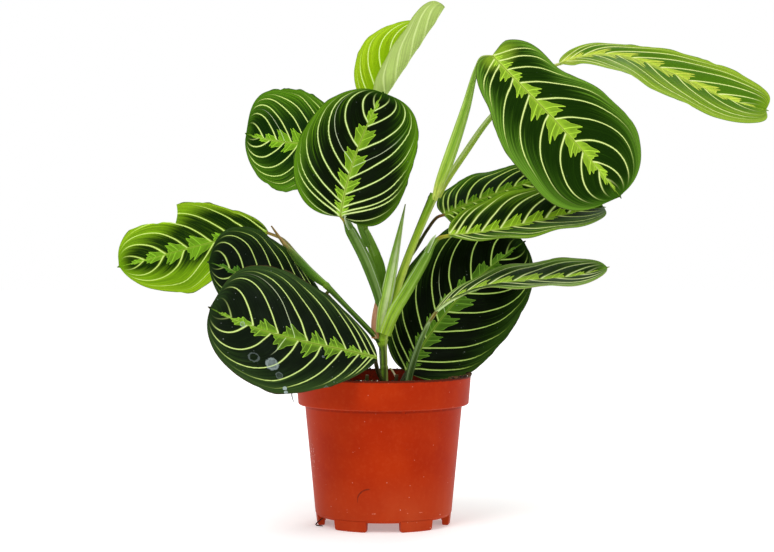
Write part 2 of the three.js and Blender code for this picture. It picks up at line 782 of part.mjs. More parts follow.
function soilGeometry(stalks, blades) {
  const bottom = FOOT_HEIGHT + FLOOR + GAP;
  const ledge = POT_HEIGHT - RIM_BAND + WALL;
  const clear = WALL + SOIL_CLEAR_OF_WALL;
  const edge = RIM_RADIUS_BELOW - clear;
  const outline = [
    [0, bottom],
    [wallRadius(bottom) - clear, bottom],
    [wallRadius(ledge + GAP) - clear, ledge + GAP],
    [edge, ledge + GAP],
    [edge, SOIL_TOP],
  ];
  for (let ring = SOIL_RINGS - 1; ring >= 0; ring -= 1) {
    outline.push([(edge * ring) / SOIL_RINGS, SOIL_TOP]);
  }
  const lathe = new THREE.LatheGeometry(outline.map(([r, z]) => new THREE.Vector2(r, z)), SOIL_SIDES);
  lathe.rotateX(Math.PI / 2);
  const position = lathe.attributes.position;
  for (let i = 0; i < position.count; i += 1) {
    if (position.getZ(i) > SOIL_TOP - GAP) {
      position.setZ(i, position.getZ(i) + soilLump(position.getX(i), position.getY(i), edge));
    }
  }
  let soil = solidOf(lathe);
  stalks.filter((stalk) => stalk.in_soil).forEach((stalk) => {
    soil = soil.subtract(solidOf(stalkGeometry(stalk, blades, GAP)));
  });
  return geometryOf(largestBody(soil));
}

// The plant

const blades = Object.fromEntries(LEAVES.map((spec) => [spec.name, new Blade(spec)]));

// Each stalk is cut clear of the blades and of the stalks listed before it.
function stalkMeshes() {
  const bladeCutters = LEAVES.map((spec) => solidOf(blades[spec.name].geometry(GAP)));
  const stalkCutters = [];
  return STALKS.map((stalk) => {
    let solid = solidOf(stalkGeometry(stalk, blades));
    [...bladeCutters, ...stalkCutters].forEach((cutter) => {
      solid = solid.subtract(cutter);
    });
    stalkCutters.push(solidOf(stalkGeometry(stalk, blades, GAP)));
    return meshOf(stalk.name, geometryOf(largestBody(solid)), stalk.colour, STALK_ROUGHNESS);
  });
}

const plant = new THREE.Group();
plant.position.copy(POT_AXIS);
plant.add(meshOf('pot', potGeometry(), POT_COLOUR, POT_ROUGHNESS));
plant.add(meshOf('soil', soilGeometry(STALKS, blades), SOIL_COLOUR, SOIL_ROUGHNESS));
LEAVES.forEach((spec) => {
  plant.add(meshOf(spec.name, blades[spec.name].geometry(), spec.colour, BLADE_ROUGHNESS));
});
stalkMeshes().forEach((mesh) => plant.add(mesh));

export default plant;
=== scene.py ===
import math
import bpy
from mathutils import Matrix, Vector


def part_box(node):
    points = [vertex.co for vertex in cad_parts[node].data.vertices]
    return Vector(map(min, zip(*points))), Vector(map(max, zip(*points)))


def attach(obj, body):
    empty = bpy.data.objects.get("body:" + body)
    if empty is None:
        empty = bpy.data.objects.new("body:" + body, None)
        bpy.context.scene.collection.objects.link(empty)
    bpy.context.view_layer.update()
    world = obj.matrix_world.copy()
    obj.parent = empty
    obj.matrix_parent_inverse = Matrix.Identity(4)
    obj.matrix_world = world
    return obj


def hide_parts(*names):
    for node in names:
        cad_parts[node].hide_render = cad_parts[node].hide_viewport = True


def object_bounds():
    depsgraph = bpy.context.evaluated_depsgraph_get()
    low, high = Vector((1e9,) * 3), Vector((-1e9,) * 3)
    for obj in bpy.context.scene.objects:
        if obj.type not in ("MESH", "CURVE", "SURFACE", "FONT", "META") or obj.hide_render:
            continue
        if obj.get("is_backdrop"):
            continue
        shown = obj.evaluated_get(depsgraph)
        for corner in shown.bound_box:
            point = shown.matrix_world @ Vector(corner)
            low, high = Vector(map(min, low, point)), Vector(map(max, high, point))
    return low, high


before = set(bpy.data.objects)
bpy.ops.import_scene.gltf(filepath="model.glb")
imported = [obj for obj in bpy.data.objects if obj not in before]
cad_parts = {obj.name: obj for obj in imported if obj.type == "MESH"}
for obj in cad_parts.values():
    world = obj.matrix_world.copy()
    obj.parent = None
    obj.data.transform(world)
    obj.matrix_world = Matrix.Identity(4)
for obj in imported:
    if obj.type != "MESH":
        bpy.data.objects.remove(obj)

from types import SimpleNamespace

import bmesh
import bpy
import numpy as np
from mathutils import Vector, noise

CAD_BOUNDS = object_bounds()

# A prayer plant (maranta) in a round nursery pot. The tables are in millimetres from the pot's axis,
# with +Z up, X to the right and Y to the back. Colours are sRGB, 0 to 255.
MM = 0.001
POT_LOW, POT_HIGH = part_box("pot")
POT_AXIS = np.array([(POT_LOW.x + POT_HIGH.x) / 2, (POT_LOW.y + POT_HIGH.y) / 2, 0.0])
SEED = 7

# Camera: where it stands and what it looks at, from the pot's axis, in millimetres
EYE = (2.4, -1245.0, 193.0)
AIM = (2.4, 0.0, 169.7)
LENS_MM = 84.42
SENSOR_MM = 36.0

# Light: the sky's strength, and each lamp's place in metres, its size and its power
SKY_STRENGTH = 0.60
LAMPS = {
    "key": ((-0.8, -1.3, 1.9), 0.9, 20),
    "fill": ((1.5, -1.3, 0.9), 1.0, 4),
    "back": ((0.6, 1.6, 1.5), 1.0, 8),
}
LAMPS_LOOK_AT = (0, 0, 0.2)

# The white floor glows, so that its far end fades into the backdrop, and less near the pot, which
# darkens the floor round it as painted shade over its real shadow: by this share up to the first
# radius, and fully from the second
FLOOR_HALF = 6.0
FLOOR_GLOW = 0.5
SHADE_GLOW = 0.62
SHADE_FROM = 60
SHADE_TO = 230

# Leaf blades: the grid of a blade, its thickness and its relief
LEAF_ROWS = 128
TEAR_ROWS = 14
HALF_COLUMNS = 28
LEAF_THICKNESS = 0.46
EDGE_THICKNESS = 0.2
RIB_SAMPLES = 200
BLADE_CLOSES = 0.985
TIP_HALF = 0.9
LOBE_FADE = 6
EDGE_WAVES = 3
RIGHT_WAVE_LAG = 1.7
QUILT_HEIGHT = 0.55
RIB_GROOVE_DEPTH = 0.5
RIB_GROOVE_WIDTH = 1.1
RIDGE_HEIGHT = 1.1
RIDGE_WIDTH = 1.0
LEAF_SHINE = 0.025
# The outline's small unevenness: its waves along the leaf, with their share of the depth
UNEVEN = ((4, 0.5), (7, 0.4), (13, 0.22), (23, 0.08))

# Colours that all the leaves share
FINE_VEIN = (206, 214, 196)
VEIN_CORE = (250, 255, 214)
RIB_GROOVE = (112, 116, 34)
SPECK = (186, 196, 190)
HAZE = (140, 156, 146)
WATER_MARK = (168, 184, 182)
UNDERSIDE = (178, 190, 150)
UNDER_VEIN = (226, 240, 190)

# Where the side veins leave the midrib, from 0 at the base to 1 at the tip
LEFT_VEINS = (0.0, 0.045, 0.11, 0.21, 0.33, 0.47, 0.62, 0.76, 0.87, 0.945)
RIGHT_VEINS = (0.02, 0.07, 0.155, 0.265, 0.40, 0.545, 0.69, 0.82, 0.93)


def leaf(**own):
    """A leaf's values: its own, and those that most leaves share. Pairs are for its left and right half."""
    shared = dict(
        fold=(8, 8), curl=(0, 0), roll=(1, 1), lobe=(3, 3), ahead=(0, 0), lobe_rise=1, wave=1.2,
        uneven=(0.35, 0.35), waists=(), tear=None, veins=(LEFT_VEINS, RIGHT_VEINS), fine_veins=(),
        teeth=(0.9, 1.0), tooth_at=0.0, band_lime=0.8, veined=1.0, darker_base=0.0, streaked=1.0, wash=0.0,
        glow=0.15, marks=(), under=None)
    return shared | own


# Each leaf's shape, as its solid has it: the rib, the way that it faces at its base and its tip, and each
# half's width, widest place, and how full it is towards the base and the tip. fold and curl are degrees,
# lobe and ahead draw the edge back or on, and waists (right, at, spread, depth) pinch it, or widen it
# where the depth is below 0.
# Then its looks: sweep is how far the veins lean towards the tip, close how much they draw together there,
# band is the lime band's width, teeth how far its middle and its late point reach, dark_to where the dark
# field begins and ends to fade, and glow how much light comes through. fine_veins lie in a gap between two
# side veins (right, gap, end), and marks are dried drops (at, side, radius, strength, filled).
LEAVES = {
    "leaf_01_front_left": leaf(
        rib=((-4, -40, 116), (-36, -64, 125), (-72, -84, 135), (-111, -95, 152)),
        faces=((0, -0.9, 0.4), (0, -0.9, 0.4)),
        left=(40, 0.6, 1.3, 1.9), right=(43.6, 0.56, 1.45, 3.1),
        curl=(-10, -10), ahead=(0, 2),
        uneven=(0.4, 0.7), sweep=0.145, close=0.3, band=(0.29, 0.23), teeth=(1.0, 0.9), band_lime=0.62,
        veins=((0.02, 0.05, 0.12, 0.23, 0.355, 0.495, 0.655, 0.78, 0.88, 0.95),
               (0.0, 0.05, 0.10, 0.205, 0.325, 0.44, 0.61, 0.75, 0.87, 0.945)),
        fine_veins=((1, 5, 0.95), (0, 5, 0.42)),
        slot="leaf_dark", dark=(16, 25, 13), middle=(40, 62, 26), lime=(124, 168, 40), vein=(202, 230, 112),
        margin=(60, 86, 38), edge=(70, 45, 30), dark_to=((0.42, 1.0), (0.42, 1.0)), glow=0.08, dust=0.4,
        marks=((0.72, -20.3, 3.4, 0.45, 0.0), (0.63, -21.3, 4.2, 0.62, 1.0), (0.59, -27.6, 2.3, 0.4, 0.3),
               (0.556, -35.2, 1.3, 1.5, 1.0), (0.55, -37.6, 1.1, 1.2, 1.0), (0.808, -0.9, 1.9, 1.2, 0.2),
               (0.23, -29.5, 1.8, 0.7, 1.0), (0.35, -31, 2.4, 0.4, 0.3), (0.36, -8.5, 1.0, 0.5, 0.8)),
    ),
    "leaf_02_left": leaf(
        rib=((-41, -12, 154), (-66, -25, 159), (-91, -38, 170), (-116, -48, 180)),
        faces=((0, -0.8, 0.6), (0, -0.8, 0.6)),
        left=(38, 0.5, 1.4, 2), right=(39, 0.55, 1.75, 2.7),
        curl=(-10, -10), lobe=(3, 4),
        uneven=(0.4, 0.7), sweep=0.15, close=0.35, band=(0.24, 0.22), teeth=(1.0, 0.9),
        slot="leaf_dark", dark=(13, 22, 11), middle=(34, 58, 20), lime=(80, 130, 34), vein=(190, 222, 96),
        margin=(54, 84, 28), edge=(50, 60, 40), dark_to=((0.45, 1.0), (0.45, 1.0)), glow=0.08, dust=0.35,
    ),
    "leaf_03_far_left": leaf(
        rib=((-80, 14, 200), (-114, 10, 194), (-148, 4, 185), (-182, -4, 176)),
        faces=((0, -0.85, 0.5), (0, -0.85, 0.5)),
        left=(40, 0.6, 1.4, 1.6), right=(35, 0.48, 1.4, 2.2),
        curl=(10, 0),
        waists=((True, 0.28, 0.12, 1.4), (True, 0.2, 0.02, 0.8)),
        tear=dict(start=0.52, deepest=0.56, end=0.86, depth=14),
        uneven=(0.6, 0.9), sweep=0.2, close=0.3, band=(0.3, 0.28), teeth=(0.95, 1.0), band_lime=0.9,
        darker_base=0.42, streaked=0.45,
        veins=((0.0, 0.08, 0.2, 0.35, 0.55, 0.69, 0.83, 0.93),
               (0.0, 0.1, 0.22, 0.37, 0.53, 0.675, 0.82, 0.92)),
        slot="leaf_lime", dark=(22, 48, 4), middle=(134, 182, 22), lime=(128, 178, 38),
        vein=(214, 242, 104), margin=(172, 212, 34), edge=(90, 105, 45),
        dark_to=((0.22, 0.56), (0.26, 0.64)), glow=0.25, dust=0.15,
    ),
    "leaf_04_upper_left": leaf(
        rib=((-26, 8, 259), (-50, 32, 262), (-75, 56, 265), (-101, 76, 272)),
        faces=((-0.7, -0.7, 0.1), (-0.7, -0.7, 0.1)),
        left=(36, 0.5, 1.7, 1.7), right=(38, 0.5, 1.7, 3.3),
        ahead=(0, 3),
        uneven=(0.7, 0.8), sweep=0.2, close=0.3, band=(0.3, 0.3), teeth=(0.85, 1.0),
        fine_veins=((1, 5, 0.7),),
        slot="leaf_green", dark=(14, 42, 2), middle=(72, 120, 16), lime=(134, 184, 36),
        vein=(226, 250, 130), margin=(98, 148, 26), edge=(60, 90, 25), dark_to=((0.32, 0.85), (0.32, 0.85)),
        glow=0.18, dust=0.1,
    ),
    "leaf_05_upper_middle": leaf(
        rib=((-29, -24, 210), (-23, -14, 239), (-13, 3, 269), (0, 22, 298)),
        faces=((0, -0.9, 0.3), (0, -0.9, 0.3)),
        left=(40, 0.42, 2.3, 2), right=(40, 0.38, 2.7, 2.7),
        curl=(-10, -10), lobe=(4, 16),
        uneven=(0.7, 0.4), sweep=0.27, close=0.2, band=(0.235, 0.26), tooth_at=-0.04, teeth=(0.85, 1.0),
        darker_base=0.4,
        veins=((0.0, 0.03, 0.095, 0.19, 0.30, 0.51, 0.72, 0.85, 0.935),
               (0.0, 0.02, 0.06, 0.15, 0.265, 0.48, 0.685, 0.82, 0.91, 0.965)),
        fine_veins=((0, 4, 0.9), (1, 4, 0.8)),
        slot="leaf_dark", dark=(10, 20, 3), middle=(42, 82, 8), lime=(134, 176, 38), vein=(214, 240, 134),
        margin=(114, 166, 26), edge=(40, 60, 20), dark_to=((0.42, 1.0), (0.32, 0.8)), glow=0.12, dust=0.1,
    ),
    "leaf_06_young_half_rolled": leaf(
        rib=((-6, 46, 287), (11, 50, 313), (27.5, 54, 338), (43, 57, 362)),
        faces=((-0.4, -0.9, 0.1), (-0.4, -0.9, 0.1)),
        left=(35, 0.42, 2, 1.7, 0.83), right=(24, 0.5, 2.4, 5),
        fold=(0, 27), curl=(20, 158), roll=(1, 0.69), wave=0.8,
        sweep=0.3, close=0.2, band=(0.0, 0.0), streaked=0.5,
        veins=((0.0, 0.08, 0.18, 0.29, 0.42, 0.58, 0.75), (0.04, 0.17, 0.36, 0.56, 0.76)),
        slot="leaf_lime", dark=(150, 190, 6), middle=(170, 206, 20), lime=(150, 190, 30),
        vein=(232, 248, 158), margin=(182, 214, 50), edge=(150, 170, 60), under=(208, 230, 132),
        dark_to=((0.2, 0.8), (0.2, 0.8)), glow=0.3, dust=0.0,
    ),
    "leaf_07_upper_right": leaf(
        rib=((74, -8, 320), (101, -22, 290), (129, -36, 258), (157, -48, 222)),
        faces=((0.2, -0.85, 0.4), (0.2, -0.85, 0.4)),
        left=(47, 0.6, 2.8, 1.9), right=(46, 0.66, 2, 3),
        curl=(-20, -20), lobe=(6, 6), lobe_rise=3,
        waists=((False, 0.27, 0.18, 12), (True, 0.24, 0.12, 4)),
        sweep=0.135, close=0.85, band=(0.27, 0.38), tooth_at=0.02, teeth=(1.0, 0.86), wash=0.13,
        veins=((0.0, 0.045, 0.11, 0.205, 0.335, 0.475, 0.625, 0.77, 0.88, 0.95),
               (0.02, 0.06, 0.165, 0.29, 0.43, 0.565, 0.70, 0.82, 0.905, 0.96)),
        slot="leaf_green", dark=(22, 48, 3), middle=(68, 116, 18), lime=(164, 204, 52),
        vein=(232, 250, 138), margin=(128, 178, 56), edge=(60, 40, 35), dark_to=((0.5, 1.0), (0.5, 1.0)),
        dust=0.05,
    ),
    "leaf_08_far_right": leaf(
        rib=((122, 16, 317), (171, 16, 321), (215, 8, 302), (263, -4, 283)),
        faces=((0, -0.42, 0.9), (0, -0.6, 0.8)),
        left=(30, 0.66, 1.7, 2.6), right=(42, 0.4, 1.4, 2.7),
        ahead=(9, 16),
        waists=((False, 0.36, 0.14, 8), (True, 0.24, 0.11, -9), (True, 0.04, 0.03, -6)),
        uneven=(1.2, 1.0), sweep=0.2, close=0.6, band=(0.36, 0.3), tooth_at=0.02, teeth=(1.0, 0.9),
        wash=0.16, streaked=0.7,
        slot="leaf_lime", dark=(84, 130, 22), middle=(140, 182, 36), lime=(202, 224, 78),
        vein=(246, 253, 162), margin=(184, 216, 66), edge=(110, 150, 60),
        dark_to=((0.5, 0.95), (0.22, 0.55)), glow=0.25, dust=0.0,
    ),
    "leaf_09_right_back": leaf(
        rib=((42, 10, 212), (67, 24, 223), (95, 34, 233), (125, 40, 243)),
        faces=((0, -0.38, 0.92), (0, -0.38, 0.92)),
        left=(27, 0.45, 2, 2), right=(28, 0.45, 2, 2),
        fold=(12, -42),
        sweep=0.2, close=0.6, band=(0.26, 0.26), veined=1.15, wash=0.1,
        slot="leaf_green", dark=(14, 34, 4), middle=(46, 84, 10), lime=(112, 158, 28), vein=(214, 242, 100),
        margin=(84, 130, 24), edge=(70, 100, 35), dark_to=((0.35, 0.9), (0.35, 0.9)), dust=0.05,
    ),
    "leaf_10_right_middle": leaf(
        rib=((44, -14, 198), (79, -16, 202), (114, -18, 210), (150, -18, 217)),
        faces=((0, -0.65, 0.75), (0, -0.65, 0.75)),
        left=(36, 0.5, 2.2, 2), right=(42, 0.7, 1.6, 2.8),
        fold=(0, 28),
        sweep=0.16, close=0.6, band=(0.3, 0.26), veined=1.4, wash=0.08,
        slot="leaf_green", dark=(14, 32, 3), middle=(70, 116, 14), lime=(156, 196, 42),
        vein=(236, 252, 146), margin=(150, 192, 36), edge=(70, 90, 40), dark_to=((0.4, 0.95), (0.12, 0.5)),
        dust=0.05,
    ),
    "leaf_11_lower_right": leaf(
        rib=((16, 14, 103), (38, 26, 136), (65, 38, 166), (101, 46, 194)),
        faces=((0, -0.9, 0.4), (0, -0.9, 0.4)),
        left=(42, 0.6, 2, 2.4), right=(46, 0.42, 2.4, 2.2),
        sweep=0.18, close=0.4, band=(0.28, 0.28), band_lime=0.76,
        fine_veins=((0, 4, 0.6),),
        slot="leaf_dark", dark=(7, 14, 2), middle=(36, 66, 14), lime=(96, 140, 36), vein=(188, 226, 88),
        margin=(64, 96, 32), edge=(45, 35, 25), dark_to=((0.5, 1.05), (0.5, 1.05)), glow=0.06, dust=0.25,
    ),
    "leaf_12_right_front": leaf(
        rib=((35, -28, 147), (72, -34, 165), (111, -38, 169), (150, -40, 177)),
        faces=((0, -0.1, 0.99), (0, -0.35, 0.94)),
        left=(32, 0.6, 2, 2), right=(32, 0.6, 2, 2),
        fold=(7, 6),
        uneven=(0.6, 0.8), sweep=0.15, close=0.6, band=(0.3, 0.3), veined=1.5, wash=0.08,
        slot="leaf_green", dark=(28, 54, 6), middle=(132, 182, 56), lime=(172, 208, 66),
        vein=(240, 252, 172), margin=(168, 208, 84), edge=(150, 125, 110), dark_to=((0.5, 1.0), (0.5, 1.0)),
        dust=0.1,
    ),
}


# Small helpers

def linear(colour):
    """An sRGB colour, 0 to 255, as the linear RGBA that a shader takes."""
    shares = [channel / 255 for channel in colour]
    return tuple(c / 12.92 if c <= 0.04045 else ((c + 0.055) / 1.055) ** 2.4 for c in shares) + (1.0,)


def tinted(colour, factor, add=0):
    """A colour made lighter or darker."""
    return tuple(min(channel * factor + add, 255) for channel in colour)


def blend(first, second, share):
    return tuple(a * (1 - share) + b * share for a, b in zip(first, second))


def unit(vectors):
    return vectors / np.linalg.norm(vectors, axis=-1, keepdims=True)


def eased(values, low, high):
    """Smoothly from 0 at low to 1 at high."""
    share = np.clip((values - low) / (high - low), 0, 1)
    return share * share * (3 - 2 * share)


def in_frame(points):
    """Points in millimetres from the pot's axis, as metres in the frame."""
    return np.asarray(points, float) * MM + POT_AXIS


def in_scene(name, data):
    """A new object, linked into the scene."""
    item = bpy.data.objects.new(name, data)
    bpy.context.scene.collection.objects.link(item)
    return item


def new_piece(name, points, faces, materials, nodes, slot, face_material=None, sharp=50):
    """A mesh piece that rides on the body and stands for the given nodes."""
    mesh = bpy.data.meshes.new(name)
    mesh.from_pydata(in_frame(points).tolist(), [], faces)
    for material in materials:
        mesh.materials.append(material)
    if face_material is not None:
        mesh.polygons.foreach_set("material_index", np.asarray(face_material, np.int32))
    mesh.polygons.foreach_set("use_smooth", np.ones(len(mesh.polygons), bool))
    mesh.update()
    mesh.set_sharp_from_angle(angle=math.radians(sharp))
    piece = in_scene(name, mesh)
    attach(piece, "root")
    if nodes:
        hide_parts(*nodes)
    return piece


def store(mesh, name, values, domain):
    """Keeps three numbers for every point or face corner, for the materials to read."""
    attribute = mesh.attributes.new(name, "FLOAT_VECTOR", domain)
    attribute.data.foreach_set("vector", np.asarray(values, np.float32).ravel())


# Materials are written as sums over fields: a Field is a number that varies over a surface.

class Field:
    def __init__(self, graph, socket):
        self.graph = graph
        self.socket = socket

    def math(self, operation, *others):
        node = self.graph.node("ShaderNodeMath", operation=operation)
        for place, value in enumerate((self, *others)):
            self.graph.put(value, node.inputs[place])
        return Field(self.graph, node.outputs[0])

    def __add__(self, other):
        return self.math("ADD", other)

    def __sub__(self, other):
        return self.math("SUBTRACT", other)

    def __rsub__(self, other):
        return (self * -1.0).math("ADD", other)

    def __mul__(self, other):
        return self.math("MULTIPLY", other)

    def __truediv__(self, other):
        return self.math("DIVIDE", other)

    def least(self, other):
        return self.math("MINIMUM", other)

    def most(self, other):
        return self.math("MAXIMUM", other)

    def fract(self):
        return self.math("FRACT")

    def floor(self):
        return self.math("FLOOR")

    def abs(self):
        return self.math("ABSOLUTE")

    def step(self, low, high):
        """Smoothly from 0 where this field is at low to 1 where it is at high."""
        node = self.graph.node("ShaderNodeMapRange", interpolation_type="SMOOTHSTEP")
        for value, name in ((self, "Value"), (low, "From Min"), (high, "From Max")):
            self.graph.put(value, node.inputs[name])
        return Field(self.graph, node.outputs[0])

    def ramp(self, *stops, soft=False):
        """A polyline, or a soft curve, through (place, value) stops, for a field from 0 to 1."""
        node = self.graph.node("ShaderNodeValToRGB")
        elements = node.color_ramp.elements
        if soft:
            node.color_ramp.interpolation = "EASE"
        while len(elements) < len(stops):
            elements.new(0.5)
        for element, (place, value) in zip(elements, stops):
            element.position = place
            element.color = (value, value, value, 1)
        self.graph.put(self, node.inputs[0])
        return Field(self.graph, node.outputs[0])


class Graph:
    """The node tree of one material."""

    def __init__(self, name):
        self.material = bpy.data.materials.new(name)
        self.material.use_nodes = True
        self.tree = self.material.node_tree
        self.tree.nodes.clear()

    def node(self, kind, **settings):
        node = self.tree.nodes.new(kind)
        for key, value in settings.items():
            setattr(node, key, value)
        return node

    def put(self, value, socket):
        if isinstance(value, Field):
            self.tree.links.new(value.socket, socket)
        else:
            socket.default_value = value

    def stored(self, name):
        """The three fields that the mesh keeps under a name."""
        attribute = self.node("ShaderNodeAttribute", attribute_name=name)
        return self.parts(attribute.outputs["Vector"])

    def parts(self, socket):
        split = self.node("ShaderNodeSeparateXYZ")
        self.tree.links.new(socket, split.inputs[0])
        return [Field(self, output) for output in split.outputs]

    def place(self):
        """Where a point is, in millimetres from the pot's axis: as a vector, and its x, y and z."""
        node = self.node("ShaderNodeTexCoord")
        x, y, z = self.parts(node.outputs["Object"])
        x, y, z = (x - POT_AXIS[0]) / MM, (y - POT_AXIS[1]) / MM, z / MM
        return self.vector(x, y, z), x, y, z

    def vector(self, x, y, z):
        node = self.node("ShaderNodeCombineXYZ")
        for value, socket in zip((x, y, z), node.inputs):
            self.put(value, socket)
        return Field(self, node.outputs[0])

    def noise(self, vector, scale=1.0, detail=2.0, roughness=0.5):
        node = self.node("ShaderNodeTexNoise", noise_dimensions="3D")
        self.put(vector, node.inputs["Vector"])
        node.inputs["Scale"].default_value = scale
        node.inputs["Detail"].default_value = detail
        node.inputs["Roughness"].default_value = roughness
        return Field(self, node.outputs[0])

    def cells(self, vector, scale=1.0):
        """How far a point is from the nearest of many scattered points."""
        node = self.node("ShaderNodeTexVoronoi")
        self.put(vector, node.inputs["Vector"])
        node.inputs["Scale"].default_value = scale
        return Field(self, node.outputs["Distance"])

    def mix(self, share, first, second):
        """A colour from first, where share is 0, to second, where it is 1."""
        node = self.node("ShaderNodeMix", data_type="RGBA", clamp_factor=True)
        self.put(share, node.inputs[0])
        for value, socket in ((first, node.inputs[6]), (second, node.inputs[7])):
            self.put(value if isinstance(value, Field) else linear(value), socket)
        return Field(self, node.outputs[2])

    def layers(self, colour, *layers):
        """The colour with each (share, tint) laid over it in turn."""
        for share, tint in layers:
            colour = self.mix(share, colour, tint)
        return colour

    def lighter(self, colour, value, saturation=1.0):
        """The same hue, with its value and saturation multiplied."""
        node = self.node("ShaderNodeHueSaturation")
        node.inputs["Value"].default_value = value
        node.inputs["Saturation"].default_value = saturation
        self.put(colour, node.inputs["Color"])
        return Field(self, node.outputs[0])

    def shade(self, colour, bump, roughness, bump_mm, through=None, through_share=0.0, **even):
        """Ends the tree: a glossy surface, with light coming through it where through is given."""
        bumps = self.node("ShaderNodeBump")
        bumps.inputs["Distance"].default_value = bump_mm * MM
        self.put(bump, bumps.inputs["Height"])
        surface = self.node("ShaderNodeBsdfPrincipled")
        self.put(colour, surface.inputs["Base Color"])
        self.put(roughness, surface.inputs["Roughness"])
        self.tree.links.new(bumps.outputs[0], surface.inputs["Normal"])
        for socket, value in even.items():
            self.put(value, surface.inputs[socket.replace("_", " ")])
        last = surface.outputs[0]
        if through is not None:
            passing = self.node("ShaderNodeBsdfTranslucent")
            self.put(through, passing.inputs["Color"])
            both = self.node("ShaderNodeMixShader")
            both.inputs[0].default_value = through_share
            self.tree.links.new(last, both.inputs[1])
            self.tree.links.new(passing.outputs[0], both.inputs[2])
            last = both.outputs[0]
        out = self.node("ShaderNodeOutputMaterial")
        self.tree.links.new(last, out.inputs["Surface"])
        return self.material


# Leaf blades

